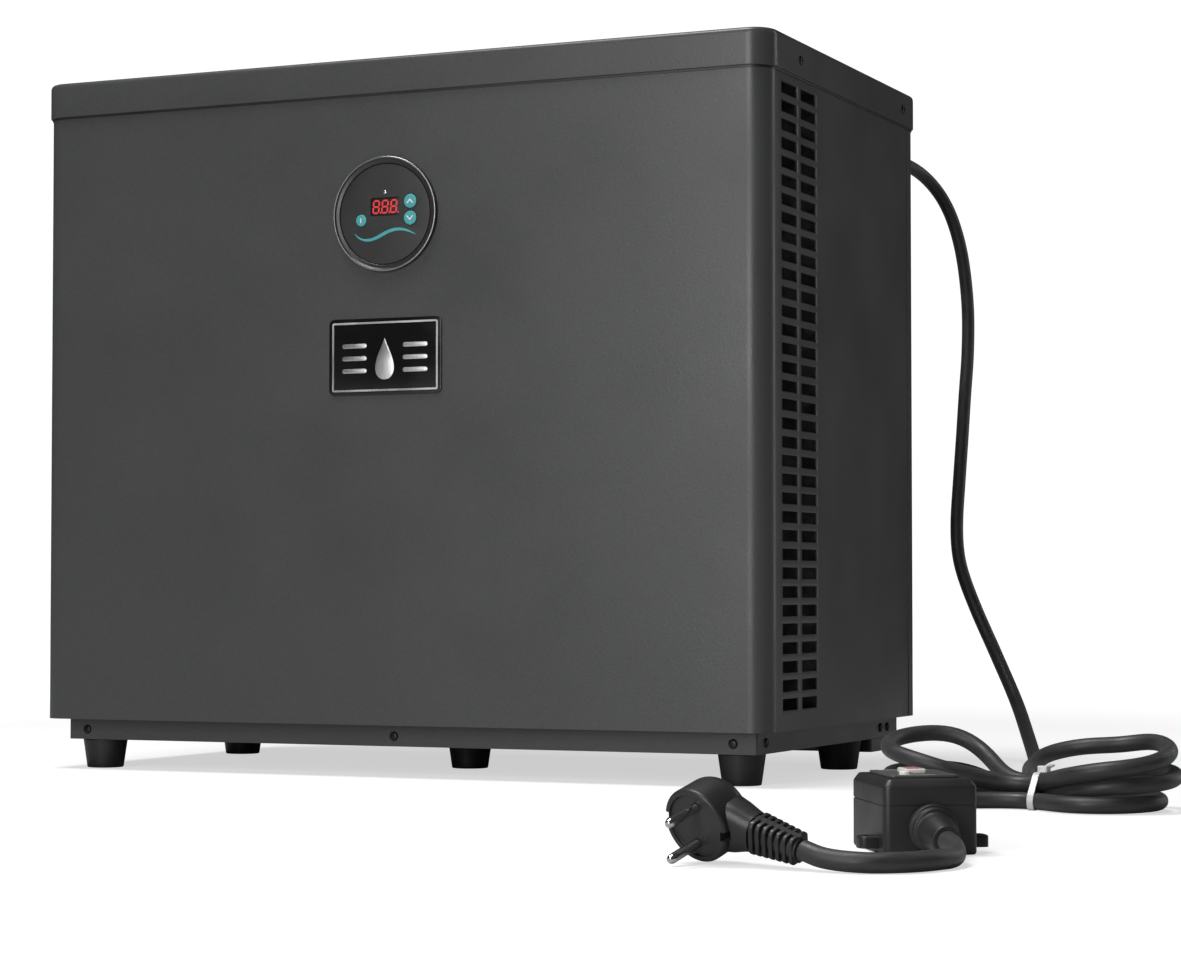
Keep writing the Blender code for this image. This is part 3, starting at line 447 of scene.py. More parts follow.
def circle_tree():
    """Repeat a piece, drawn about the origin, evenly round an axis."""
    tree, given, add, close = tree_with("round_an_axis", (("Count", "Int"), ("Axis", "Vector"), ("Centre", "Vector")))
    points = add("GeometryNodePoints", {"Count": given["Count"], "Position": given["Centre"]})
    turn = add("ShaderNodeMath", {0: math.tau, 1: given["Count"]}, operation="DIVIDE").outputs[0]
    angle = add("ShaderNodeMath", {0: add("GeometryNodeInputIndex").outputs[0], 1: turn}, operation="MULTIPLY")
    spin = add("FunctionNodeAxisAngleToRotation", {"Axis": given["Axis"], "Angle": angle.outputs[0]}).outputs[0]
    close(add("GeometryNodeInstanceOnPoints", {"Points": points.outputs[0], "Instance": given["Geometry"],
                                               "Rotation": spin}).outputs[0])
    return tree


def hoops_tree():
    """Round wires about an axis along Y, each wider than the last."""
    tree, given, add, close = tree_with("wire_hoops", (
        ("Count", "Int"), ("First radius", "Float"), ("Pitch", "Float"), ("Wire radius", "Float"),
        ("Centre", "Vector")))
    points = add("GeometryNodePoints", {"Count": given["Count"], "Position": given["Centre"]})
    index = add("GeometryNodeInputIndex").outputs[0]
    grown = add("ShaderNodeMath", {0: index, 1: given["Pitch"], 2: given["First radius"]}, operation="MULTIPLY_ADD")
    hoop = add("GeometryNodeCurvePrimitiveCircle", {"Resolution": 96, "Radius": 1.0})
    hoops = add("GeometryNodeInstanceOnPoints", {"Points": points.outputs[0], "Instance": hoop.outputs[0],
                                                 "Rotation": (math.pi / 2, 0, 0), "Scale": grown.outputs[0]})
    real = add("GeometryNodeRealizeInstances", {"Geometry": hoops.outputs[0]})
    profile = add("GeometryNodeCurvePrimitiveCircle", {"Resolution": 10, "Radius": given["Wire radius"]})
    close(add("GeometryNodeCurveToMesh", {"Curve": real.outputs[0], "Profile Curve": profile.outputs[0]}).outputs[0])
    return tree


def places_tree():
    """Set a piece on each point of a mesh, with its own +Z turned to the point's aim."""
    tree, given, add, close = tree_with("on_places", (("Piece", "Object"),))
    piece = add("GeometryNodeObjectInfo", {"Object": given["Piece"]}).outputs["Geometry"]
    aim = add("GeometryNodeInputNamedAttribute", {"Name": "aim"}, data_type="FLOAT_VECTOR").outputs["Attribute"]
    turn = add("FunctionNodeAlignRotationToVector", {"Vector": aim}, axis="Z").outputs[0]
    close(add("GeometryNodeInstanceOnPoints", {"Points": given["Geometry"], "Instance": piece,
                                               "Rotation": turn}).outputs[0])
    return tree


ROWS, CIRCLE, HOOPS, PLACES = rows_tree(), circle_tree(), hoops_tree(), places_tree()


def grown(base, tree, finish, **sizes):
    """Run a node tree on a mesh and give the plain mesh that it makes."""
    holder = in_scene("grown", base)
    modifier = holder.modifiers.new("grow", "NODES")
    modifier.node_group = tree
    sizes = {key.replace("_", " "): value for key, value in sizes.items()}
    for socket in tree.interface.items_tree:
        if socket.in_out == "INPUT":
            label = socket.name
            if label == "Material":
                modifier[socket.identifier] = finish.material
            elif label in sizes:
                modifier[socket.identifier] = sizes.pop(label)
    assert not sizes, sizes
    result = evaluated_mesh(holder)
    bpy.data.objects.remove(holder)
    return result


def points_mesh(places):
    """A mesh of loose points, each with the way it faces."""
    mesh = bpy.data.meshes.new("places")
    mesh.from_pydata([p for p, _ in places], [], [])
    aim = mesh.attributes.new("aim", "FLOAT_VECTOR", "POINT")
    for item, (_, way) in zip(aim.data, places):
        item.vector = way
    return mesh


def fastened(name, piece, places, finish, slot, body="cabinet"):
    """The same small piece, such as a screw, at several places."""
    source = in_scene("fastener", to_mesh(piece))
    mesh = grown(points_mesh(places), PLACES, finish, Piece=source)
    bpy.data.objects.remove(source)
    return keep(name, mesh, finish, slot, body)


# ---------------------------------------------------------------- camera, light and floor

def set_camera():
    camera = bpy.data.cameras.new("camera")
    camera.lens, camera.sensor_width = 89.6, 36
    eye = in_scene("camera", camera)
    eye.location = (0.9488136, -1.9601632, 0.1288392)
    eye.rotation_euler = (math.radians(92.078), 0, math.radians(24.038))
    bpy.context.scene.camera = eye
    bpy.context.scene.view_settings.view_transform = "Standard"


def lamp(name, place, target, wide, tall, power):
    """A soft rectangular lamp, in metres and watts, that faces its target."""
    light = bpy.data.lights.new(name, "AREA")
    light.shape, light.size, light.size_y, light.energy = "RECTANGLE", wide, tall, power
    made = in_scene(name, light)
    made.location = place
    made.rotation_euler = (Vector(target) - Vector(place)).to_track_quat("-Z", "Y").to_euler()


def set_world(dim, bright):
    """A white surround: bright where it is seen, dim where it lights the object."""
    world = bpy.data.worlds.new("studio")
    world.use_nodes = True
    nodes, links = world.node_tree.nodes, world.node_tree.links
    level = nodes.new("ShaderNodeMapRange")
    level.inputs["To Min"].default_value, level.inputs["To Max"].default_value = dim, bright
    links.new(nodes.new("ShaderNodeLightPath").outputs["Is Camera Ray"], level.inputs["Value"])
    links.new(level.outputs["Result"], nodes["Background"].inputs["Strength"])
    nodes["Background"].inputs["Color"].default_value = (1, 1, 1, 1)
    bpy.context.scene.world = world


def set_floor(far=12):
    """Pale paper that takes a soft shadow and grows white away from the unit."""
    material = bpy.data.materials.new("floor_paper")
    material.use_nodes = True
    nodes, links = material.node_tree.nodes, material.node_tree.links
    shader = nodes["Principled BSDF"]
    shader.inputs["Base Color"].default_value = (0.52, 0.52, 0.52, 1)
    shader.inputs["Roughness"].default_value = 0.9
    shader.inputs["Specular IOR Level"].default_value = 0.0
    shader.inputs["Emission Color"].default_value = (1, 1, 1, 1)
    reach = nodes.new("ShaderNodeVectorMath")
    reach.operation = "LENGTH"
    links.new(nodes.new("ShaderNodeTexCoord").outputs["Object"], reach.inputs[0])
    fade = nodes.new("ShaderNodeMapRange")
    for label, value in (("From Min", 0.8), ("From Max", 1.9), ("To Min", 0.60), ("To Max", 1.0)):
        fade.inputs[label].default_value = value
    links.new(reach.outputs["Value"], fade.inputs["Value"])
    seen = nodes.new("ShaderNodeMath")
    seen.operation = "MULTIPLY"
    links.new(fade.outputs["Result"], seen.inputs[0])
    links.new(nodes.new("ShaderNodeLightPath").outputs["Is Camera Ray"], seen.inputs[1])
    links.new(seen.outputs["Value"], shader.inputs["Emission Strength"])

    ground = bpy.data.meshes.new("floor")
    ground.from_pydata([(-far, -far, 0), (far, -far, 0), (far, far, 0), (-far, far, 0)], [], [(0, 1, 2, 3)])
    ground.materials.append(material)
    in_scene("floor", ground)


# ---------------------------------------------------------------- mains lead

LEAD_D = 9.8 * MM
LEAD_R = LEAD_D / 2
LEAD_REST = LEAD_R + 0.2 * MM       # height of its middle on the ground
LEAD_GAP = 0.9 * MM                 # between its end and the piece that it enters
GLAND = Vector((GLAND_X, back(350), GLAND_Z))
HANK_CENTRE, HANK_TURN = Vector((0.4840, -0.2600, 0)), math.radians(-4)
SWITCH_CENTRE, SWITCH_TURN = Vector((0.5003, -0.5616, 0)), math.radians(-57.5)
SWITCH_HALF_L, SWITCH_HALF_W, SWITCH_TOP = 33 * MM, 23.5 * MM, 37 * MM
PLUG_CENTRE = Vector((0.4345, -0.6712, 0.0216))
BOOT_Z, BOOT_DROP, BOOT_L = 14 * MM, 0.15, 28 * MM
SUPPLY_ROUTE = (
    (0.2502, 0.186, 0.457), (0.2545, 0.206, 0.4545), (0.262, 0.2235, 0.4465), (0.272, 0.236, 0.429),
    (0.281, 0.243, 0.399), (0.2865, 0.2455, 0.355), (0.289, 0.238, 0.314), (0.290, 0.2265, 0.279),
    (0.291, 0.215, 0.243), (0.2912, 0.206, 0.209), (0.2915, 0.199, 0.176), (0.294, 0.198, 0.150),
    (0.303, 0.202, 0.120), (0.321, 0.197, 0.083), (0.345, 0.170, 0.047), (0.369, 0.120, 0.0205),
    (0.388, 0.068, 0.0085), (0.403, 0.018, LEAD_REST), (0.417, -0.032, LEAD_REST), (0.429, -0.082, 0.0058),
    (0.441, -0.132, 0.0100), (0.4525, -0.177, 0.0175), (0.467, -0.211, 0.0245))
SWITCH_ROUTE = (
    (0.4262, -0.3300, LEAD_REST), (0.4285, -0.3700, LEAD_REST), (0.4350, -0.4060, LEAD_REST),
    (0.4425, -0.4400, LEAD_REST), (0.4515, -0.4730, LEAD_REST))
PLUG_ROUTE = (
    (0.5448, -0.6390, LEAD_REST), (0.5428, -0.6600, LEAD_REST), (0.5330, -0.6780, LEAD_REST),
    (0.5160, -0.6870, LEAD_REST))


def hank_place(along, across, height):
    """A place in the hank, in millimetres along and across it."""
    c, s = math.cos(HANK_TURN), math.sin(HANK_TURN)
    return Vector((HANK_CENTRE.x + (along * c - across * s) * MM, HANK_CENTRE.y + (along * s + across * c) * MM,
                   height * MM))


def in_hank(point):
    """The millimetres along, across and up of a place in the hank."""
    c, s = math.cos(HANK_TURN), math.sin(HANK_TURN)
    x, y = point.x - HANK_CENTRE.x, point.y - HANK_CENTRE.y
    return (x * c + y * s) / MM, (y * c - x * s) / MM, point.z / MM


def switch_place(along, across, height):
    """A place on the safety switch, in metres along it, towards the plug, and across it."""
    c, s = math.cos(SWITCH_TURN), math.sin(SWITCH_TURN)
    return Vector((SWITCH_CENTRE.x + along * c - across * s, SWITCH_CENTRE.y + along * s + across * c, height))


FORWARD = (switch_place(1, 0, 0) - switch_place(0, 0, 0)).normalized()
PLUG_ARM = Vector((0.9313, -0.2665, -0.2450)).normalized()
PLUG_PINS = Vector((-0.3545, -0.8698, -0.3420))
PLUG_PINS = (PLUG_PINS - PLUG_ARM * PLUG_PINS.dot(PLUG_ARM)).normalized()
PLUG_ACROSS = PLUG_PINS.cross(PLUG_ARM)
PLUG_ROOT = PLUG_CENTRE - PLUG_PINS * 3 * MM
PLUG_BOOT_NEAR, PLUG_BOOT_FAR = 27.3, 53.3          # millimetres along the arm


def boot_axis(side):
    """The way a boot leaves the switch: 1 at the plug's end, -1 at the unit's."""
    return (FORWARD * side - Vector((0, 0, BOOT_DROP))).normalized()


def boot_start(side):
    """The place where a boot meets the switch."""
    return switch_place(side * (SWITCH_HALF_L + 0.3 * MM), 0, BOOT_Z)


def smooth_path(points, spacing):
    """Even points along a Catmull-Rom curve through the given points."""
    points = [Vector(point) for point in points]
    ends = [2 * points[0] - points[1]] + points + [2 * points[-1] - points[-2]]
    dense = []
    for i in range(len(points) - 1):
        a, b, c, d = ends[i:i + 4]
        spans = [max((q - p).length, 1e-6) ** 0.5 for p, q in ((a, b), (b, c), (c, d))]
        t0, t1 = 0.0, spans[0]
        t2, t3 = t1 + spans[1], t1 + spans[1] + spans[2]
        for step in range(24):
            t = t1 + (t2 - t1) * step / 24
            ab = a * ((t1 - t) / (t1 - t0)) + b * ((t - t0) / (t1 - t0))
            bc = b * ((t2 - t) / (t2 - t1)) + c * ((t - t1) / (t2 - t1))
            cd = c * ((t3 - t) / (t3 - t2)) + d * ((t - t2) / (t3 - t2))
            abc = ab * ((t2 - t) / (t2 - t0)) + bc * ((t - t0) / (t2 - t0))
            bcd = bc * ((t3 - t) / (t3 - t1)) + cd * ((t - t1) / (t3 - t1))
            dense.append(abc * ((t2 - t) / (t2 - t1)) + bcd * ((t - t1) / (t2 - t1)))
    dense.append(points[-1])
    total = length_of(dense)
    count = max(2, round(total / spacing))
    even, walked, target = [dense[0]], 0.0, total / count
    for p, q in zip(dense, dense[1:]):
        step = (q - p).length
        while walked + step >= target and len(even) < count:
            even.append(p.lerp(q, (target - walked) / step))
            target += total / count
        walked += step
    return even + [dense[-1]]


def swept(points, radius, sides=20):
    """A round tube along points, with flat ends and a UV map that runs along it."""
    made = bmesh.new()
    uv = made.loops.layers.uv.new("UVMap")
    normal = Vector((0, 0, 1))
    rows, run = [], 0.0
    for i, point in enumerate(points):
        ahead = (points[min(i + 1, len(points) - 1)] - points[max(i - 1, 0)]).normalized()
        normal = (normal - ahead * normal.dot(ahead)).normalized()
        other = ahead.cross(normal)
        rows.append(([made.verts.new(point + (normal * math.cos(math.tau * k / sides)
                                              + other * math.sin(math.tau * k / sides)) * radius)
                      for k in range(sides)], run))
        if i + 1 < len(points):
            run += (points[i + 1] - point).length
    for (first, u0), (second, u1) in zip(rows, rows[1:]):
        for k in range(sides):
            j = (k + 1) % sides
            face = made.faces.new((first[k], first[j], second[j], second[k]))
            around = ((k / sides, u0), ((k + 1) / sides, u0), ((k + 1) / sides, u1), (k / sides, u1))
            for loop, (v, u) in zip(face.loops, around):
                loop[uv].uv = (v * 0.2, u * 6)
    for row, _ in (rows[0], rows[-1]):
        made.faces.new(row)
    return made


def hank_turns():
    """Flattened turns, gathered at the tie and fanned out at both ends, as points of the lead's middle."""
    bend, waist = 33.5, -10.5           # radius of every fold, and the tie's place along the hank
    # side, middle of the turn across, height of its near run, tilt, lift of its end, next pass of the tie
    turns = ((1, 0.0, 25.5, 12, 0, (-9.5, 14.4)),
             (-1, 0.0, 23.5, 10, 8, (9.0, 14.4)),
             (1, 2.6, 15.6, 6, 0, (-3.6, 5.2)),
             (-1, 4.5, 14.2, 3, 2, (12.6, 5.2)),
             (1, -3.0, 5.2, 1, 0, (-18.0, 5.2)))
    points = []
    entry_along, entry_across, entry_bend = 12.9, 66.1, 38
    for heading, height in ((-45, 28), (-28, 31), (-10, 33.5), (6, 35.5)):
        angle = math.radians(heading)
        points.append(hank_place(entry_along + entry_bend * math.sin(angle),
                                 entry_across - entry_bend * math.cos(angle), height))
    here = None
    for side, middle, low, tilt, lift, there in turns:
        ends = [end for end in (here, there) if end]
        reach = {end: math.sqrt(4 * bend * bend - (abs(end[0] - middle) + bend) ** 2) for end in ends}
        run = max(reach.values())

        def lay(x, y, held):
            """Add a place, held at this height at the tie and free further out."""
            share = min(1.0, abs(x - waist) / (run + 0.4 * bend))
            share = share * share * (3 - 2 * share)
            free = low + (y - middle + bend) * math.tan(math.radians(tilt)) + lift * abs(x - waist) / (run + bend)
            points.append(hank_place(x, y, held + (free - held) * share))

        def neck(end, shares):
            """Draw the turn in towards its pass of the tie."""
            outward = math.copysign(1, end[0] - middle)
            for share in shares:
                angle = math.asin(reach[end] / (2 * bend)) * share
                lay(waist + side * bend * math.sin(angle), end[0] + outward * bend * (1 - math.cos(angle)), end[1])

        def facing(end):
            """The angle of the turn at which it starts to draw in."""
            return math.copysign(math.pi - math.acos(reach[end] / (2 * bend)), end[0] - middle)

        if here:
            neck(here, (0.35, 0.7))
        start, stop = facing(here) if here else math.pi / 2, facing(there)
        for i in range(11):
            angle = start + (stop - start) * i / 10
            height = (here or there)[1] if i < 5 else there[1]
            lay(waist + side * (run + bend * math.cos(angle)), middle + bend * math.sin(angle), height)
        neck(there, (0.7, 0.35, 0))
        here = there
    return points


def eased(path, rounds=90):
    """Even out a path's bends without drawing it in: each pass in is followed by one a little further out."""
    for step in range(2 * rounds):
        pull = 0.5 if step % 2 == 0 else -0.52
        inner = [b + ((a + c) / 2 - b) * pull for a, b, c in zip(path[1:], path[2:], path[3:])][:-1]
        path = path[:2] + inner + path[-2:]
    return path


def length_of(path):
    """The length along a path's points."""
    return sum((q - p).length for p, q in zip(path, path[1:]))


def lay_lead():
    """The two free lengths of the mains lead, with the hank between the wall of the unit and the switch."""
    gland_end = GLAND + Vector((0, LEAD_GAP, 0))
    leave = [hank_place(along, across, 5.1) for along, across in ((-25, -21.5), (-38, -30.5), (-47, -42), (-52, -55))]
    end = boot_start(-1) + boot_axis(-1) * (BOOT_L + LEAD_GAP)
    first = eased(smooth_path([gland_end, *SUPPLY_ROUTE, *hank_turns(), *leave, *SWITCH_ROUTE,
                               end + boot_axis(-1) * 14 * MM, end], 4 * MM))
    start = boot_start(1) + boot_axis(1) * (BOOT_L + LEAD_GAP)
    plug_end = PLUG_ROOT + PLUG_ARM * (PLUG_BOOT_FAR * MM + LEAD_GAP)
    second = smooth_path([start, start + boot_axis(1) * 12 * MM, *PLUG_ROUTE, plug_end + PLUG_ARM * 12 * MM,
                          plug_end], 3 * MM)
    return (keep("mains_lead", swept(first, LEAD_R), SHEATH, "cord_rubber",
                 stands_for=("supply_cord", "cord_hank", "switch_cord")), first,
            keep("plug_lead", swept(second, LEAD_R), SHEATH, "cord_rubber", stands_for=("plug_cord",)), second)


# ---------------------------------------------------------------- cabinet

# Thickness of the sheet, depth of the seam with the rear panel and radius of the corners, in millimetres.
WALL, SEAM, CORNER = 1.5, 293, 15
# Depths in millimetres at which the field of vents ends, where its two columns meet and where it starts.
VENT_EDGES = (96.75, 59.75, 22.75)
VENT_ROWS, VENT_TOP, VENT_PITCH, VENT_H, VENT_L = 34, 460 * MM, 12.32 * MM, 7.6 * MM, 29.5 * MM
VENT_COLUMN_STEP = 37 * MM
WALL_TOP = LID_LOW + 15 * MM


def wall_path(inset, open_y, face_y, stops, steps=10):
    """Plan points of a sheet that comes round both sides and one face, moved in by its inset."""
    towards = 1 if open_y > face_y else -1
    radius = (CORNER - inset) * MM
    half = HALF_W - inset * MM
    centre_x, centre_y = HALF_W - CORNER * MM, face_y + towards * CORNER * MM
    right = [(half, open_y)] + [(half, y) for y in stops]
    for i in range(steps + 1):
        angle = math.radians(90 * i / steps)
        right.append((centre_x + radius * math.cos(angle), centre_y - towards * radius * math.sin(angle)))
    return right + [(-x, y) for x, y in right[::-1]]


def folded_wall(open_y, face_y, stops, levels, skip=()):
    """A sheet wall with both faces and its edges; the panels named in skip are left open."""
    outer, inner = (wall_path(inset, open_y, face_y, stops) for inset in (0, WALL))
    made = bmesh.new()
    grids = [[[made.verts.new((x, y, z)) for z in levels] for x, y in path] for path in (outer, inner)]
    count = len(outer)
    for i in range(count - 1):
        for k in range(len(levels) - 1):
            panel = min(i, count - 2 - i)
            if (panel, k) in skip:
                continue
            for grid in grids:
                made.faces.new((grid[i][k], grid[i + 1][k], grid[i + 1][k + 1], grid[i][k + 1]))
    for k in (0, -1):
        for i in range(count - 1):
            made.faces.new((grids[0][i][k], grids[0][i + 1][k], grids[1][i + 1][k], grids[1][i][k]))
    for i in (0, -1):
        for k in range(len(levels) - 1):
            made.faces.new((grids[0][i][k], grids[0][i][k + 1], grids[1][i][k + 1], grids[1][i][k]))
    return made


def vent_cell(side):
    """One slot with the sheet round it, both faces, with a softened outer edge."""
    centre_y, centre_z = back((VENT_EDGES[1] + VENT_EDGES[2]) / 2), VENT_TOP
    half_y, half_z = (VENT_EDGES[1] - VENT_EDGES[2]) / 2 * MM, VENT_PITCH / 2
    made = bmesh.new()

    def ring(grow, depth):
        outline = rectangle(-VENT_L / 2 - grow, VENT_L / 2 + grow, -VENT_H / 2 - grow, VENT_H / 2 + grow,
                            0.9 * MM + grow, 3)
        return [made.verts.new((side * (HALF_W - depth), centre_y + y, centre_z + z)) for y, z in outline]

    def frame_of(depth):
        corners = ((half_y, half_z), (-half_y, half_z), (-half_y, -half_z), (half_y, -half_z))
        return [made.verts.new((side * (HALF_W - depth), centre_y + y, centre_z + z)) for y, z in corners]

    soft = 0.3 * MM
    rings = [ring(soft, 0), ring(0.09 * MM, 0.09 * MM), ring(0, soft), ring(0, WALL * MM)]
    for hole, corners in ((rings[0], frame_of(0)), (rings[-1], frame_of(WALL * MM))):
        arc = len(hole) // 4
        for k in range(4):
            for i in range(arc - 1):
                made.faces.new((corners[k], hole[k * arc + i], hole[k * arc + i + 1]))
            made.faces.new((corners[k], hole[k * arc + arc - 1], hole[(k + 1) * arc % len(hole)],
                            corners[(k + 1) % 4]))
    for first, second in zip(rings, rings[1:]):
        for i in range(len(first)):
            j = (i + 1) % len(first)
            made.faces.new((first[i], first[j], second[j], second[i]))
    return to_mesh(made)


def front_casing():
    """The sheet round the front and both sides, with its vents and the hole for the controller."""
    rows = [VENT_TOP + VENT_PITCH / 2 - k * VENT_PITCH for k in range(VENT_ROWS, -1, -1)]
    levels = [BODY_LOW] + rows + [WALL_TOP]
    skip = {(panel, k) for panel in (1, 2) for k in range(1, VENT_ROWS + 1)}
    wall = to_mesh(folded_wall(back(SEAM), FRONT_Y, [back(e) for e in VENT_EDGES], levels, skip))
    vents = [grown(vent_cell(side), ROWS, PAINT, Columns=2, Rows=VENT_ROWS, Column_step=(0, VENT_COLUMN_STEP, 0),
                   Row_step=(0, 0, -VENT_PITCH), Last_scale=1.0) for side in (1, -1)]
    shell = cut(to_mesh(joined(wall, *vents)),
                [lathe(((37, -10), (37, 10)), (0, FRONT_Y, CONTROL_Z), (0, 1, 0), 72)])
    keep("front_casing_shell", shell, PAINT, "casing_paint", stands_for=("front_casing",))


def rear_panel():
    """The sheet round the back, with its holes for the fan, the unions, the lead and the drain."""
    levels = [BODY_LOW, BODY_LOW + 0.1, BODY_LOW + 0.3, WALL_TOP]
    wall = to_mesh(folded_wall(back(SEAM) + 0.3 * MM, REAR_Y, [REAR_Y - CORNER * MM - 1 * MM], levels))
    holes = [(150, FAN.x, FAN.z), (21.5, UNION_X, INLET_Z), (21.5, UNION_X, OUTLET_Z), (9, GLAND_X, GLAND_Z),
             (9, DRAIN_X, DRAIN_Z)]
    tools = [lathe(((r, -10), (r, 10)), (x, REAR_Y, z), (0, 1, 0), 96 if r > 100 else 32) for r, x, z in holes]
    keep("rear_panel_shell", cut(wall, tools), PAINT, "casing_paint", stands_for=("rear_panel",))


def top_cover():
    """The pressed lid, with its rolled upper edge."""
    x, front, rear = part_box("top_cover")[1].x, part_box("top_cover")[0].y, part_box("top_cover")[1].y
    low, top, corner = LID_LOW / MM, LID_TOP / MM, 16.9
    profile = fillet(((9, top - WALL), (WALL, top - WALL), (WALL, low), (0, low), (0, top), (9, top)),
                     (0, 3, 0.3, 0.45, 5, 0), 6)
    rings = []
    for inset, height in profile:
        i = inset * MM
        outline = rectangle(-x + i, x - i, front + i, rear - i, max(1, corner - inset) * MM, 12)
        rings.append([(a, b, height * MM) for a, b in outline])
    keep("top_cover_pressed", loft(rings), PAINT, "casing_paint", stands_for=("top_cover",))


def lid_shadow_line_and_seams():
    """A dark rubber strip just under the lid that paints the shadow line of the gap there, and the folded edges where
    the front casing meets the rear panel.
    """
    def ring(grow, z):
        g = grow * MM
        outline = rectangle(-HALF_W - g, HALF_W + g, FRONT_Y - g, REAR_Y + g, (CORNER + grow) * MM, 12)
        return [(a, b, z) for a, b in outline]

    # This dark strip round the body just under the lid is painted shade: it stands in for the shadow in the gap below
    # the lid.
    shadow_line = loft([ring(0.05, LID_LOW - 1.5 * MM), ring(0.7, LID_LOW - 1.5 * MM), ring(0.7, LID_LOW + 0.4 * MM),
                 ring(0.05, LID_LOW + 0.4 * MM)], True)
    keep("lid_foam_seal", shadow_line, RUBBER, "foot_rubber")
    edges = bmesh.new()
    for side in (1, -1):
        outline = fillet(((-0.1, -1.6), (-0.1, 0.25), (0.5, 0.1), (0.5, -1.2)), (0, 0, 0.3, 0.3), 3, True)
        slab(mm(outline), lambda a, b, h: Vector((side * (HALF_W + a), back(SEAM) + b, h)), BODY_LOW + 0.4 * MM,
             LID_LOW - 1.7 * MM, 0, edges)
    keep("casing_folded_edges", edges, PAINT, "casing_paint")


def screw():
    """A small pan head with a cross recess, standing on its own +Z."""
    head = to_mesh(lathe(fillet(((0, -0.6), (3.3, -0.6), (3.3, 0.5), (2.4, 1.25), (0, 1.5)), 0.5, 3), (0, 0, 0),
                         (0, 0, 1), 24))
    bars = []
    for wide, tall in ((3.6, 0.7), (0.7, 3.6)):
        outline = rectangle(-wide / 2, wide / 2, -tall / 2, tall / 2, 0.12, 2)
        bars.append(loft([[(a, b, z * MM) for a, b in mm(outline)] for z in (0.5, 3)]))
    made = bmesh.new()
    made.from_mesh(cut(head, bars))
    return made


def screws():
    """The screws of the lid, the skirt and the rear panel."""
    lid_x, skirt_x, rear_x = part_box("top_cover")[1].x, 266.7 * MM, 262 * MM
    lid_z, skirt_z = 482 * MM, 28.4 * MM
    frontwards, backwards = (0, -1, 0), (0, 1, 0)
    places = []
    for side in (1, -1):
        outwards = (side, 0, 0)
        places += [((side * lid_x, back(d), lid_z), outwards) for d in (58, 278)]
        places += [((side * skirt_x, back(d), skirt_z), outwards) for d in (30, 266, 282)]
        places += [((side * rear_x, REAR_Y + out * MM, z), backwards)
                   for out, z in ((1.9, lid_z), (0, 0.250), (0, 0.052))]
    places += [((a, back(15), 0.028), frontwards) for a in (-0.2506, -0.0007, 0.2494)]
    places += [((a, REAR_Y, 0.445), backwards) for a in (-0.24, 0.07)]
    fastened("cabinet_screws", screw(), places, SCREW, "casing_paint")


def feet():
    """The five tapered feet, each hollow at its middle underneath."""
    for name in ("foot_front_left", "foot_front_right", "foot_rear_left", "foot_rear_right", "foot_middle"):
        low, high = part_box(name)
        centre = ((low.x + high.x) / 2, (low.y + high.y) / 2, 0)
        turned(name + "_moulded", centre, (0, 0, 1),
               ((0, 4), (5, 4), (5, 0), (13, 0), (13.6, 4), (15.6, 18), (16, high.z / MM), (0, high.z / MM)),
               RUBBER, "foot_rubber", radius=0.9, segments=48, stands_for=(name,))


# ---------------------------------------------------------------- controller and badge

CONTROL = Vector((0, FRONT_Y, CONTROL_Z))
# Each key's place across and up from the controller's middle, and its radius, in millimetres.
KEYS = (("power_key", -18.3, -3.8, 4.1), ("up_key", 19.7, 7.8, 4.85), ("down_key", 19.7, -3.7, 4.85))


def controller():
    """The controller's ring, face, display, print, keys and the box behind the panel."""
    profile = ((40, -0.3), (40, -2.4), (39.3, -3.2), (38.5, -3.2), (37.6, -2.1), (35.4, -1.75), (35.1, -1.4),
               (35.1, 12), (36.7, 12), (36.7, -0.3))
    turned("controller_bezel_ring", CONTROL, (0, 1, 0), profile, BEZEL, "black_plastic", 0.35, 128, True,
           stands_for=("controller_bezel",))
    # A thin pale metal band laid on the bezel's chamfer paints the highlight line that the chamfer catches.
    rim = ((39.75, -2.95), (39.45, -3.2), (38.75, -3.25), (38.5, -3.05), (39.1, -2.9))
    turned("controller_bezel_rim", CONTROL, (0, 1, 0), rim, BEZEL_HIGHLIGHT_METAL, "black_plastic", 0.15, 128, True)

    profile = fillet(((0, 1), (34.7, 1), (34.7, -1.6), (0, -1.6)), (0, 0.3, 0.4, 0), 3)
    face = to_mesh(lathe(profile, CONTROL, (0, 1, 0), 96))
    tools = [lathe(((r + 0.4, -9), (r + 0.4, 9)), CONTROL + Vector((x * MM, 0, up * MM)), (0, 1, 0), 40)
             for _, x, up, r in KEYS]
    window = rectangle(-10.75 * MM, 10.75 * MM, -1 * MM, 11 * MM, 0.8 * MM)
    tools.append(slab(outset(window, 0.3 * MM), on_front, -9 * MM, 9 * MM))
    keep("controller_face_overlay", cut(face, tools), FACE, "controller_grey", stands_for=("controller_face",))
    keep("display_window_lens", slab(window, on_front, -0.9 * MM, 1.3 * MM, 0.15 * MM), WINDOW, "display_red",
         stands_for=("display_window",))

    digits()
    turned("status_lamp", CONTROL + Vector((0, 0, 15 * MM)), (0, -1, 0),
           ((0, 1.55), (1.4, 1.6), (1.1, 1.95), (0, 2.1)), SILVER, "key_white", 0.3, 24)
    wave()
    keys()
    turned("controller_housing_box", CONTROL, (0, 1, 0), ((0, 3.2), (33.7, 3.2), (33.7, 26), (0, 26)), BLACK,
           "black_plastic", 1.5, 64, stands_for=("controller_housing",))


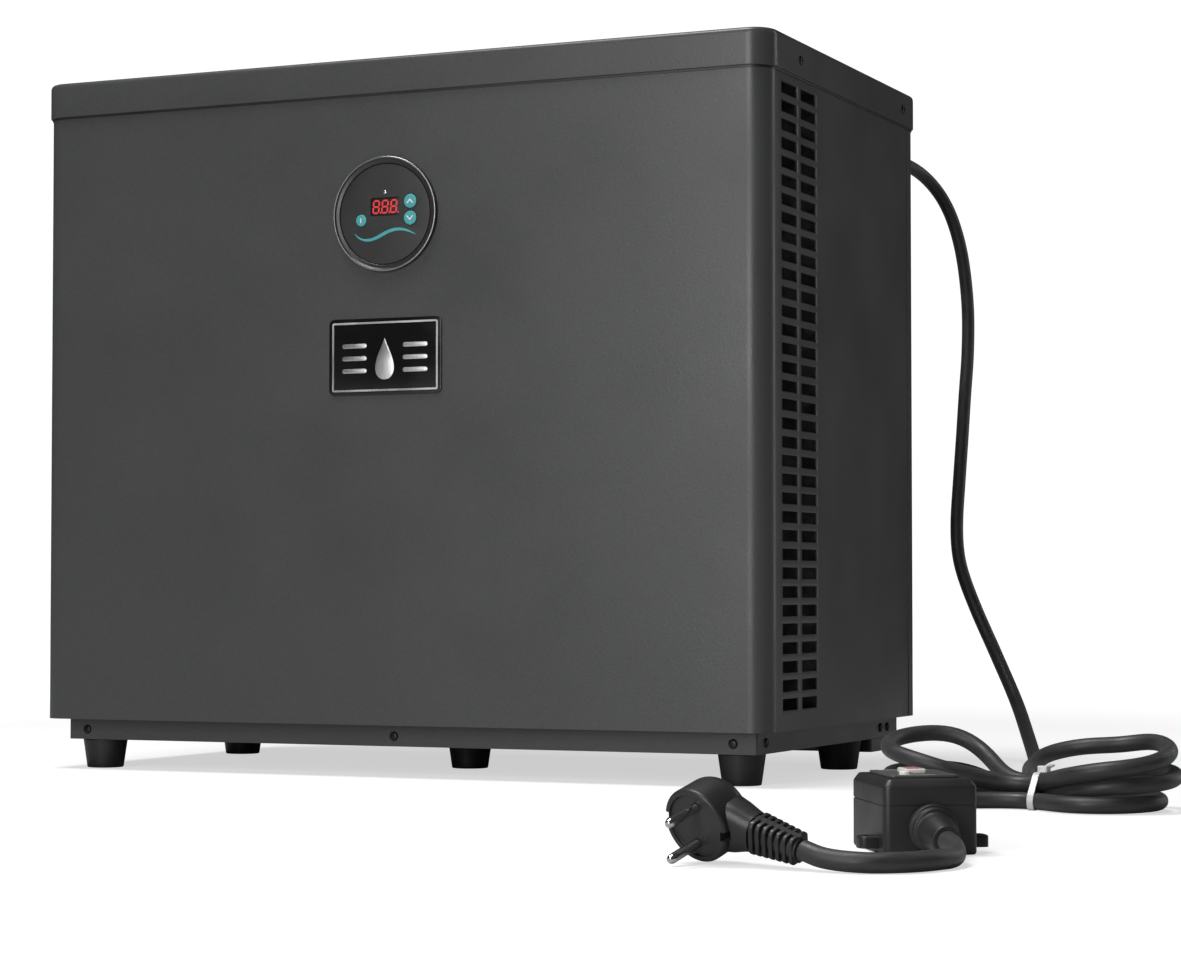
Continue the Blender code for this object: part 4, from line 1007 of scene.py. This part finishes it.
def digits():
    """Three leaning seven-segment digits, each with its point, all lit."""
    width, height, thick, lean = 4.3, 8.4, 1.15, 0.09
    left, middle, pitch = -8.9, 5.0, 6.75
    low, high = 1.32 * MM, 1.46 * MM
    bars = [((0, height / 2), (width, height / 2)), ((0, 0), (width, 0)), ((0, -height / 2), (width, -height / 2)),
            ((0, 0), (0, height / 2)), ((width, 0), (width, height / 2)), ((0, -height / 2), (0, 0)),
            ((width, -height / 2), (width, 0))]
    segments = bmesh.new()
    for bar in bars:
        start, end = (Vector(place) for place in bar)
        way = (end - start).normalized()
        side = Vector((-way.y, way.x)) * thick / 2
        start, end = start + way * 0.22, end - way * 0.22
        tip = way * thick / 2
        outline = [start, start + tip - side, end - tip - side, end, end - tip + side, start + tip + side]
        slab(mm((p.x + left + p.y * lean, p.y + middle) for p in outline), on_front, low, high, into=segments)
    angles = [math.radians(t) for t in range(0, 360, 30)]
    dot = [(5.9 + 0.62 * math.cos(t) + left - 4.0 * lean, 0.9 + 0.62 * math.sin(t)) for t in angles]
    slab(mm(dot), on_front, low, high, into=segments)
    row = grown(to_mesh(segments), ROWS, DIGIT, Columns=3, Rows=1, Column_step=(pitch * MM, 0, 0), Last_scale=1.0)
    keep("display_digits", row, DIGIT, "display_red")


def wave():
    """The printed wave under the display, thin at both ends."""
    line = smooth_path([(a, b, 0) for a, b in (
        (-23.5, -12.6), (-20.6, -15.4), (-16.5, -17.3), (-12.0, -17.6), (-7.4, -16.6), (-2.2, -14.4),
        (3.0, -12.2), (8.2, -11.1), (13.2, -11.2), (18.4, -12.6), (24.2, -15.3))], 1.0)
    upper, lower = [], []
    for i, point in enumerate(line):
        way = (line[min(i + 1, len(line) - 1)] - line[max(i - 1, 0)]).normalized()
        half = 0.06 + 1.12 * math.sin(math.pi * i / (len(line) - 1)) ** 0.72
        side = Vector((-way.y, way.x, 0)) * half
        upper.append((point + side).xy)
        lower.append((point - side).xy)
    keep("wave_print", slab(mm(lower + upper[::-1]), on_front, 1.61 * MM, 1.72 * MM), TEAL, "key_teal")


def keys():
    """The three keys, with a bar or an arrow printed on each."""
    for name, x, up, radius in KEYS:
        profile = ((0, -2.2), (radius, -2.2), (radius, 1.95), (radius - 0.7, 2.25), (0, 2.3))
        turned(name + "_cap", CONTROL + Vector((x * MM, 0, up * MM)), (0, -1, 0), profile, TEAL, "key_teal", 0.3, 48,
               body=name, stands_for=(name,))
        if name == "power_key":
            mark = rectangle(-0.42, 0.42, -1.7, 1.7, 0.3)
        else:
            sign = 1 if name == "up_key" else -1
            mark = [(-2.7, -1.5), (-2.05, -2.0), (0, 0.15), (2.05, -2.0), (2.7, -1.5), (0, 1.5)]
            mark = [(a, sign * (b + 0.3)) for a, b in mark][::sign]
        outline = mm((a + x, b + up) for a, b in mark)
        keep(name + "_mark", slab(outline, on_front, 2.28 * MM, 2.38 * MM), WHITE_INK, "key_white", body=name)


def badge():
    """The gloss plate, with a silver border, a drop and three bars at each side of it."""
    low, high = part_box("badge_plate")

    def on_badge(a, b, height):
        return Vector((a, FRONT_Y - height, (low.z + high.z) / 2 + b))

    outline = rectangle(-43.5 * MM, 43.5 * MM, -26.5 * MM, 26.5 * MM, 4 * MM, 8)
    keep("badge_plate_gloss", slab(outline, on_badge, 0.3 * MM, 1.2 * MM, 0.35 * MM), BADGE, "badge_black",
         stands_for=("badge_plate",))
    silver = bmesh.new()
    rings = []
    for grow, height in ((-2.6, 1.1), (-2.6, 1.42), (-3.9, 1.42), (-3.9, 1.1)):
        rings.append([on_badge(a, b, height * MM) for a, b in outset(outline, grow * MM)])
    loft(rings, True, silver)
    teardrop = []
    for i in range(64):
        t = math.tau * i / 64
        teardrop.append((10.5 * math.sin(t) * math.sin(t / 2) ** 1.6, 14.5 * math.cos(t) - 1.5))
    slab(mm(teardrop[::-1]), on_badge, 1.1 * MM, 1.6 * MM, 0.2 * MM, silver)
    keep("badge_border_and_drop", silver, SILVER, "badge_black")
    for side in (1, -1):
        bar = slab(mm(rectangle(*sorted((side * 14, side * 33)), -11.2, -8.2, 1.4, 4)), on_badge, 1.1 * MM, 1.5 * MM,
                   0.15 * MM)
        bars = grown(to_mesh(bar), ROWS, SILVER, Columns=1, Rows=3, Row_step=(0, 0, 8.6 * MM), Last_scale=1.0)
        keep("badge_bars_" + ("right" if side > 0 else "left"), bars, SILVER, "badge_black")


# ---------------------------------------------------------------- fan and rear

BLADES, BLADE_ROOT, BLADE_TIP = 5, 37 * MM, 138 * MM
GUARD_HOOPS, GUARD_SPOKES = 10, 8


def fan_guard():
    """The wire guard: rim, hoops, spokes, boss and screws."""
    turned("fan_guard_rim", FAN, (0, 1, 0), ((150, 0.3), (158, 0.3), (158, 3.2), (154.5, 5.4), (150, 5.4)), WIRE,
           "guard_steel", 1.0, 160, True, stands_for=("fan_guard",))
    hoops = grown(bpy.data.meshes.new("blank"), HOOPS, WIRE, Count=GUARD_HOOPS, First_radius=37 * MM,
                  Pitch=12.3 * MM, Wire_radius=1.15 * MM, Centre=FAN + Vector((0, 4.6 * MM, 0)))
    keep("fan_guard_hoops", hoops, WIRE, "guard_steel")
    bends = ((22, 3.0), (30, 2.6), (60, 2.3), (100, 2.3), (140, 2.4), (152, 2.6))
    spoke = swept([Vector((0, out * MM, radius * MM)) for radius, out in bends], 1.5 * MM, 12)
    spokes = grown(to_mesh(spoke), CIRCLE, WIRE, Count=GUARD_SPOKES, Axis=(0, 1, 0), Centre=FAN)
    keep("fan_guard_spokes", spokes, WIRE, "guard_steel")
    turned("fan_guard_boss", FAN, (0, 1, 0), ((0, 3.4), (30, 3.4), (30, 4.6), (26, 5.7), (0, 6)), WIRE, "guard_steel",
           0.8, 72)
    places = []
    for i in range(6):
        angle = math.tau * (i + 0.5) / 6
        places.append((FAN + Vector((154 * MM * math.cos(angle), 5.1 * MM, 154 * MM * math.sin(angle))), (0, 1, 0)))
    fastened("fan_guard_screws", screw(), places, SCREW, "guard_steel")


def fan_blade():
    """One blade about the origin: pitched, swept back and thin at its edges."""
    made = bmesh.new()
    reach, wide = 16, 12
    layers = []
    for side in (-1, 1):
        rows = []
        for i in range(reach):
            along = i / (reach - 1)
            radius = BLADE_ROOT + (BLADE_TIP - BLADE_ROOT) * along
            row = []
            for j in range(wide):
                across = j / (wide - 1) - 0.5
                corner = 1 - 0.30 * max(0.0, (along - 0.72) / 0.28) ** 2.2 * abs(2 * across) ** 1.5
                angle = math.radians(44 + 6 * along) * across * corner + 0.25 * along + 0.16 * along * along
                edge = math.sqrt(max(0.0, 1 - abs(2 * across) ** 4))
                rise = 26 * MM * across * (1 - 0.35 * along) + side * (0.35 + 0.95 * edge) * MM
                row.append(made.verts.new((radius * math.cos(angle), rise, radius * math.sin(angle))))
            rows.append(row)
        layers.append(rows)
    for rows in layers:
        for i in range(reach - 1):
            for j in range(wide - 1):
                made.faces.new((rows[i][j], rows[i + 1][j], rows[i + 1][j + 1], rows[i][j + 1]))
    low, high = layers
    border = [(i, 0) for i in range(reach)] + [(reach - 1, j) for j in range(1, wide)]
    border += [(i, wide - 1) for i in range(reach - 2, -1, -1)] + [(0, j) for j in range(wide - 2, -1, -1)]
    for (a, b), (c, d) in zip(border, border[1:]):
        made.faces.new((low[a][b], low[c][d], high[c][d], high[a][b]))
    return to_mesh(made)


def fan():
    """The shroud, the rotor and its motor."""
    turned("fan_shroud_ring", FAN, (0, 1, 0),
           ((144, -1.8), (158, -1.8), (158, -3.8), (147, -3.8), (147, -50), (144, -52)), FAN_BLACK, "fan_black", 2.5,
           128, True, steps=5, stands_for=("fan_shroud",))
    hub = Vector((FAN.x, back(283), FAN.z))
    profile = ((0, 18), (33, 18), (40, 14), (40, -15), (37, -18), (5.3, -18), (5.3, 8), (0, 8))
    rotor = lathe(fillet(profile, 3, 4), hub, (0, 1, 0), 72)
    rotor.from_mesh(grown(fan_blade(), CIRCLE, FAN_BLACK, Count=BLADES, Axis=(0, -1, 0), Centre=hub))
    keep("fan_rotor_moulded", to_mesh(rotor), FAN_BLACK, "fan_black", body="fan", stands_for=("fan_rotor",))
    motor = Vector((FAN.x, back(190), FAN.z))
    turned("fan_motor_can", motor, (0, 1, 0),
           ((0, 0), (40, 0), (44, 4), (44, 24), (42.6, 25), (42.6, 28), (44, 29), (44, 50), (38, 58), (14, 60),
            (5, 60), (5, 98), (0, 98)), ENAMEL, "motor_black", 1.2, 72, stands_for=("fan_motor",))


def coil():
    """The fin pack, the tubes through it and its end plates."""
    low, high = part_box("evaporator_coil")

    def sheet(x, thick):
        corners = ((x, low.y), (x + thick, low.y), (x + thick, high.y), (x, high.y))
        return to_mesh(loft([[(a, b, z) for a, b in corners] for z in (low.z, high.z)]))

    count = 144
    step = (high.x - low.x - 3.6 * MM) / (count - 1)
    fins = grown(sheet(low.x + 1.6 * MM, 0.35 * MM), ROWS, FIN, Columns=count, Rows=1, Column_step=(step, 0, 0),
                 Last_scale=1.0)
    keep("coil_fin_pack", fins, FIN, "coil_fins", stands_for=("evaporator_coil",))
    tube = lathe(((0, 1.6), (4.6, 1.6), (4.6, 348.4), (0, 348.4)), (low.x, low.y + 6.5 * MM, low.z + 14 * MM),
                 (1, 0, 0), 16)
    tubes = grown(to_mesh(tube), ROWS, COPPER, Columns=2, Rows=16, Column_step=(0, 13 * MM, 0),
                  Row_step=(0, 0, 27 * MM), Last_scale=1.0)
    keep("coil_tubes", tubes, COPPER, "copper")
    plates = grown(sheet(low.x, 1.2 * MM), ROWS, GALVANISED, Columns=2, Rows=1,
                   Column_step=(high.x - low.x - 1.2 * MM, 0, 0), Last_scale=1.0)
    keep("coil_end_plates", plates, GALVANISED, "inner_steel")


def water_side():
    """The two water unions with their nuts, the drain and the heat exchanger."""
    for name, z in (("water_inlet", INLET_Z), ("water_outlet", OUTLET_Z)):
        centre = Vector((UNION_X, FRONT_Y, z))
        profile = ((16, 306.8), (21, 311), (21, 315.3), (25, 315.3), (25, 318.5), (20, 318.5), (20, 337), (15.6, 337),
                   (15.4, 341), (16.5, 343.2), (15.4, 347), (15.4, 347.4), (16.5, 349.6), (15.4, 353.4), (15.4, 353.8),
                   (16.4, 356), (14.9, 360), (12.5, 360), (12.5, 318), (0, 318), (0, 306.8))
        turned(name + "_tail", centre, (0, 1, 0), profile, PIPE, "pipe_grey", 0.45, 72, stands_for=(name,))
        nut = name.replace("water_", "") + "_nut"
        ring = ((20.4, 319), (25.6, 319), (26.2, 320), (26.2, 335), (25.6, 336), (20.4, 336))
        turned(nut + "_ring", centre, (0, 1, 0), ring, BLACK, "black_plastic", 0.6, 96, True, body=nut,
               stands_for=(nut,))
        rib = slab(mm(fillet(((-2.3, 25.0), (2.3, 25.0), (1.5, 28), (-1.5, 28)), (0, 0, 0.8, 0.8), 4, True)),
                   lambda a, b, height: Vector((a, height, b)), 319.6 * MM, 335.4 * MM, 0.6 * MM)
        ribs = grown(to_mesh(rib), CIRCLE, BLACK, Count=18, Axis=(0, 1, 0), Centre=centre)
        keep(nut + "_grips", ribs, BLACK, "black_plastic", body=nut)
    turned("drain_nozzle_tail", (DRAIN_X, FRONT_Y, DRAIN_Z), (0, 1, 0),
           ((8, 300), (8, 315.3), (12, 315.3), (12, 318), (7, 318), (6.6, 321), (7.6, 323), (6.6, 327), (7.5, 329),
            (6.5, 333), (7.3, 335), (6.2, 338), (4.6, 338), (4.6, 318), (0, 318), (0, 300)), BLACK, "black_plastic",
           0.4, 48, stands_for=("drain_nozzle",))
    turned("heat_exchanger_shell", (UNION_X, back(264), 0), (0, 0, 1),
           ((0, 58), (36, 58), (42, 64), (42, 326), (36, 332), (0, 332)), PIPE, "pipe_grey", 3, 72,
           stands_for=("heat_exchanger",))


def refrigeration():
    """The compressor, the accumulator, the four-way valve and the filter drier."""
    turned("compressor_can", (0.2, back(165), 0), (0, 0, 1),
           ((0, 36), (62, 36), (62, 39), (52, 39), (55, 46), (55, 150), (55.6, 151), (55.6, 155), (55, 156), (55, 232),
            (48, 246), (28, 255), (8, 258), (0, 258)), ENAMEL, "motor_black", 1.5, 72, stands_for=("compressor",))
    turned("accumulator_can", (0.1205, back(126), 0), (0, 0, 1),
           ((0, 78), (14, 78), (22.7, 90), (22.7, 212), (14, 224), (0, 224)), ENAMEL, "motor_black", 3, 48,
           stands_for=("accumulator",))
    turned("four_way_valve_body", (0.110, back(255), 0.352), (1, 0, 0),
           ((0, 0), (9, 0), (12, 3), (12, 77), (9, 80), (0, 80)), COPPER, "copper", 1.5, 40,
           stands_for=("four_way_valve",))
    turned("filter_drier_body", (0.122, back(205), 0.120), (0, 0, 1),
           ((0, -34), (4, -34), (11, -24), (11, 24), (4, 34), (0, 34)), COPPER, "copper", 2, 32,
           stands_for=("filter_drier",))


# ---------------------------------------------------------------- pieces on the lead

def gland():
    """The gland that holds the lead in the rear panel, with its hexagon."""
    turned("cable_gland_sleeve", (GLAND_X, FRONT_Y, GLAND_Z), (0, 1, 0),
           ((0, 306), (12, 306), (12, 312.2), (8.2, 312.2), (8.2, 315.3), (10.5, 315.3), (10.5, 320), (11.4, 321),
            (11.4, 324.5), (9.4, 328), (8.6, 331), (6.4, 350), (0, 350)), BLACK, "black_plastic", 0.7, 48,
           stands_for=("cable_gland",))
    angles = [math.radians(60 * i + 30) for i in range(6)]
    hexagon = fillet([(12.9 * math.cos(t), 12.9 * math.sin(t)) for t in angles], 1.5, 3, True)
    nut = slab(mm(hexagon), lambda a, b, h: Vector((GLAND_X + a, FRONT_Y + h, GLAND_Z + b)), 315.3 * MM, 320.6 * MM,
               0.8 * MM)
    keep("cable_gland_nut", nut, BLACK, "black_plastic")


def tie_strap(path):
    """A nylon strap drawn tight round the lead's runs where they pass, with its head and cut tail."""
    centres = []
    for p, q in zip(path, path[1:]):
        (x0, y0, z0), (x1, y1, z1) = in_hank(p), in_hank(q)
        if x0 * x1 <= 0 and abs(y0) < 24:
            share = x0 / (x0 - x1) if x0 != x1 else 0
            centres.append((y0 + (y1 - y0) * share, z0 + (z1 - z0) * share))
    ring = sorted({(y + 5.2 * math.cos(math.tau * k / 24), max(0.15, z + 5.2 * math.sin(math.tau * k / 24)))
                   for y, z in centres for k in range(24)})
    hull = []
    for points in (ring, ring[::-1]):
        chain = []
        for point in points:
            while len(chain) > 1 and ((chain[-1][0] - chain[-2][0]) * (point[1] - chain[-2][1])
                                      - (chain[-1][1] - chain[-2][1]) * (point[0] - chain[-2][0])) <= 0:
                chain.pop()
            chain.append(point)
        hull += chain[:-1]
    rings = [[hank_place(along, a, b) for a, b in outset(hull, grow)]
             for along, grow in ((-1.9, 0), (1.9, 0), (1.9, 1.0), (-1.9, 1.0))]
    strap = loft(rings, True)
    top = max(z for _, z in hull)
    slab(rectangle(-3.1, 3.1, -3.5, 3.5, 0.8, 4), hank_place, top + 0.4, top + 4.2, 0.7, strap)
    slab(rectangle(-1.7, 1.7, 3, 15, 0.6, 3), lambda a, b, h: hank_place(a, b, h + 0.12 * b), top + 1.6, top + 2.6,
         0.2, strap)
    return keep("hank_tie_strap", strap, TIE, "tie_white", stands_for=("hank_tie",))


# The middle and the half sizes of the openings for the two keys, in millimetres, and their corners in the plate.
KEY_OPENINGS = ((-4, 0, 8.4, 5.9, 0.8), (14, -8, 3.4, 3.4, 3.3))


def switch_slab(outline, low, high, edge=0.0, into=None):
    """Raise an outline drawn on the safety switch."""
    return slab(outline, switch_place, low, high, edge, into)


def key_tools(corner, steps):
    """Cutters for the two key openings, with round corners of this size or of their own."""
    tools = []
    for along, across, a, b, own in KEY_OPENINGS:
        hole = mm(rectangle(along - a, along + a, across - b, across + b, corner or own, steps))
        tools.append(switch_slab(hole, SWITCH_TOP - 6 * MM, SWITCH_TOP + 9 * MM))
    return tools


def switch_case():
    """The case of the safety switch: box, parting groove, key openings and two fixing lugs."""
    half_l, half_w = SWITCH_HALF_L, SWITCH_HALF_W

    def ring(grow, z, corner):
        g = grow * MM
        flat = rectangle(-half_l - g, half_l + g, -half_w - g, half_w + g, corner * MM, 6)
        return [switch_place(a, b, z * MM) for a, b in flat]

    # inset and height
    profile = fillet(((7, 0.3), (0.6, 0.3), (0, 1.4), (0, 33.4), (2.6, 37), (9, 37)), (0, 0.5, 0.6, 0.8, 0.6, 0), 3)
    body = to_mesh(loft([ring(-inset, z, max(0.8, 4 - inset * 0.6)) for inset, z in profile]))
    groove = [ring(grow, z, 4 + grow) for grow, z in ((1.2, 24.1), (1.2, 24.9), (-0.5, 24.9), (-0.5, 24.1))]
    body = cut(body, key_tools(0.8, 3) + [loft(groove, True)])
    lugs = []
    for side in (-1, 1):
        low, high = sorted((side * (half_w - 3 * MM), side * (half_w + 9 * MM)))
        lugs.append(switch_slab(rectangle(10 * MM, 22 * MM, low, high, 3.5 * MM, 6), 3 * MM, 9 * MM, 1.2 * MM))
    body = cut(body, lugs, "UNION")
    holes = [lathe(((2.2, -1), (2.2, 12)), switch_place(16 * MM, side * (half_w + 4.5 * MM), 0), (0, 0, 1), 20)
             for side in (-1, 1)]
    return keep("switch_case", cut(body, holes), SWITCH, "switch_black", stands_for=("switch_body",))


def switch_label():
    """The plate round the keys, with plain marks in place of its print."""
    top = SWITCH_TOP
    plate = to_mesh(switch_slab(fillet(mm(((-24, -17), (22, -17), (22, 17), (-24, 17))), 2.5 * MM, 4, True),
                                top + 0.3 * MM, top + 1.4 * MM, 0.3 * MM))
    label = keep("switch_label_plate", cut(plate, key_tools(None, 5)), LABEL, "label_grey",
                 stands_for=("switch_plate",))
    low = top + 1.38 * MM
    tick = [(16.4, 9.6), (17.6, 9.0), (18.4, 10.6), (15.2, 13.6), (14.6, 12.9), (17.0, 10.8)]
    red = keep("switch_red_mark", switch_slab(mm(tick), low, low + 0.14 * MM), RED_INK, "display_red")
    lines = bmesh.new()
    for along, end in ((-20.5, 13), (18.9, 6)):
        switch_slab(mm(rectangle(along - 0.25, along + 0.25, -13, end, 0.2, 2)), low, low + 0.12 * MM, into=lines)
    white = keep("switch_printed_lines", lines, WHITE_INK, "key_white")
    return label, red, white


def switch_keys():
    """The raised reset key with its red mark, and the small round test key."""
    top = SWITCH_TOP
    reset = switch_slab(mm(rectangle(-12, 4, -5.5, 5.5, 1.2, 5)), top - 3.5 * MM, top + 3.4 * MM, 0.9 * MM)
    keep("reset_key_cap", reset, KEY, "key_white", body="reset_key", stands_for=("reset_key",))
    stripe = switch_slab(mm(rectangle(-7.6, 2.2, -3.9, 3.9, 0.6, 3)), top + 3.38 * MM, top + 3.46 * MM)
    keep("reset_key_mark", stripe, RED_INK, "display_red", body="reset_key")
    angles = [math.radians(t) for t in range(0, 360, 12)]
    test = switch_slab(mm((14 + 2.95 * math.cos(t), -8 + 2.95 * math.sin(t)) for t in angles), top - 3.5 * MM,
                       top + 3.2 * MM, 0.8 * MM)
    keep("test_key_cap", test, KEY, "key_white", body="test_key", stands_for=("test_key",))


def boots():
    """The ribbed rubber sleeves at the two ends of the switch, each as a sleeve and its ribs."""
    profile = ((0, 1.0), (12, 1.0), (12, 4.2), (10.6, 4.6), (10.6, 6.6), (11.2, 7.0), (11.2, 8.6), (9.3, 9.2),
               (9.1, 14), (8.4, 18), (6.9, 28), (0, 28))
    rib = fillet(((7.6, -0.8), (9.5, -0.7), (9.5, 0.7), (7.6, 0.8)), 0.4, 2, True)
    made = []
    for name, side in (("boot_out", 1), ("boot_in", -1)):
        start, axis = boot_start(side), boot_axis(side)
        made.append(turned(name + "_sleeve", start, axis, profile, SWITCH, "cord_rubber", 0.55, 56,
                           stands_for=(name,)))
        ribs = []
        for i in range(5):
            scale, along = 1 - 0.065 * i, 12.5 + 3.3 * i
            ribs.append(to_mesh(lathe([(r * scale, along + h) for r, h in rib], start, axis, 40, True)))
        made.append(keep(name + "_ribs", joined(*ribs), SWITCH, "cord_rubber"))
    return made


def at_plug(across, along, out):
    """A place across the plug, along its arm, and out towards its pins, in millimetres."""
    return PLUG_CENTRE + (PLUG_ACROSS * across + PLUG_ARM * along + PLUG_PINS * out) * MM


def plug_body():
    """The round head and the arm of the plug, with a notch for each earth contact."""
    profile = fillet(((0, -13), (14.5, -13), (18.2, -8), (18.5, 9), (17.6, 10.2), (15.6, 10.2), (15.2, 8.6), (0, 8.6)),
                     (0, 3.5, 5, 0.8, 0.5, 0.4, 0.4, 0), 5)
    head = to_mesh(lathe(profile, PLUG_CENTRE, PLUG_PINS, 72))
    arm = []
    # place along the arm, half its width, half its depth, its middle, and how square it is
    for along, half_a, half_o, middle, power in ((2, 13.5, 10.5, -2.5, 3.2), (12, 13.2, 10.4, -2.6, 3.2),
                                                 (18, 12.0, 9.6, -2.8, 3.0), (24, 9.9, 8.8, -3.0, 2.7),
                                                 (27.2, 9.2, 8.4, -3.0, 2.5)):
        ring = []
        for i in range(48):
            c, s = math.cos(math.tau * i / 48), math.sin(math.tau * i / 48)
            ring.append(at_plug(half_a * math.copysign(abs(c) ** (2 / power), c), along,
                                middle + half_o * math.copysign(abs(s) ** (2 / power), s)))
        arm.append(ring)
    square = [(-2.4, -2.4), (2.4, -2.4), (2.4, 2.4), (-2.4, 2.4)]
    notches = [slab(square, lambda a, b, h: at_plug(a, side * 17.4 + b * 0.7, h), 4, 12) for side in (-1, 1)]
    body = cut(cut(head, [loft(arm)], "UNION"), notches)
    return keep("plug_body_moulded", body, SWITCH, "switch_black", stands_for=("plug_body",))


def plug():
    """The plug: body, two pins and the bend relief with its ribs and side rails."""
    pieces = [plug_body()]
    for number, side in ((1, -1), (2, 1)):
        profile = ((0, 8.4), (2.4, 8.4), (2.4, 27), (1.7, 29), (0, 29.3))
        pieces.append(turned(f"plug_pin_{number}_turned", PLUG_CENTRE + PLUG_ACROSS * side * 9.5 * MM, PLUG_PINS,
                             profile, CHROME, "pin_chrome", 1.0, 32, stands_for=(f"plug_pin_{number}",)))
    profile = ((0, PLUG_BOOT_NEAR), (6.4, PLUG_BOOT_NEAR), (5.8, PLUG_BOOT_FAR), (0, PLUG_BOOT_FAR))
    pieces.append(turned("plug_boot_core", PLUG_ROOT, PLUG_ARM, profile, SWITCH, "switch_black", 0.5, 40,
                         stands_for=("plug_boot",)))

    def around(a, b, h):
        return PLUG_ACROSS * a + PLUG_PINS * b + PLUG_ARM * h

    rib = slab(mm(rectangle(-8.6, 8.6, -7.9, 7.9, 3.4, 5)), around, 0, 2.1 * MM, 0.5 * MM)
    ribs = grown(to_mesh(rib), ROWS, SWITCH, Columns=7, Rows=1, Column_step=PLUG_ARM * 3.75 * MM, Last_scale=0.80)
    ribs.transform(Matrix.Translation(PLUG_ROOT + PLUG_ARM * 28.2 * MM))
    pieces.append(keep("plug_boot_ribs", ribs, SWITCH, "switch_black"))
    rails = bmesh.new()
    for side in (-1, 1):
        rings = []
        for h, half, out in ((PLUG_BOOT_NEAR, 1.5, 7.6), (PLUG_BOOT_FAR - 0.3, 1.3, 5.9)):
            corners = ((-half * 0.7, -half), (half * 0.7, -half), (half * 0.7, half), (-half * 0.7, half))
            rings.append([PLUG_ROOT + around(*(v * MM for v in (side * out + a, b, h))) for a, b in corners])
        loft(rings, into=rails)
    pieces.append(keep("plug_boot_rails", rails, SWITCH, "switch_black"))
    return pieces


def carried_over():
    """Pieces that keep their plain shape and only take their finish."""
    for finish, names in ((PAINT, ("base_pan", "rear_rail")), (GALVANISED, ("motor_bracket", "partition")),
                          (MOUNT, ("compressor_mount_1", "compressor_mount_2", "compressor_mount_3")),
                          (COPPER, ("discharge_pipe", "suction_pipe", "liquid_pipe")), (PIPE, ("electric_box",)),
                          (BLACK, ("electric_cover",))):
        for name in names:
            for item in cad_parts[name].material_slots:
                item.material = finish.material


set_camera()
lamp("key", (0.05, -2.25, 0.75), (0.08, 0, 0.3), 0.75, 1.5, 21.5)
lamp("over", (-0.55, -0.75, 3.2), (-0.15, -0.35, 0), 1.4, 1.4, 80)
lamp("edge", (1.25, 0.90, 0.55), (0.28, -0.17, 0.28), 0.06, 1.3, 2.7)
set_world(0.045, 1.05)
set_floor()
front_casing()
rear_panel()
top_cover()
lid_shadow_line_and_seams()
screws()
feet()
controller()
badge()
fan_guard()
fan()
coil()
water_side()
refrigeration()
gland()
carried_over()
main_lead, main_path, plug_lead, plug_path = lay_lead()
tie = tie_strap(main_path)
case = switch_case()
switch_trim = switch_label()
switch_keys()
boot_out, boot_out_ribs, boot_in, boot_in_ribs = boots()
plug_pieces = plug()
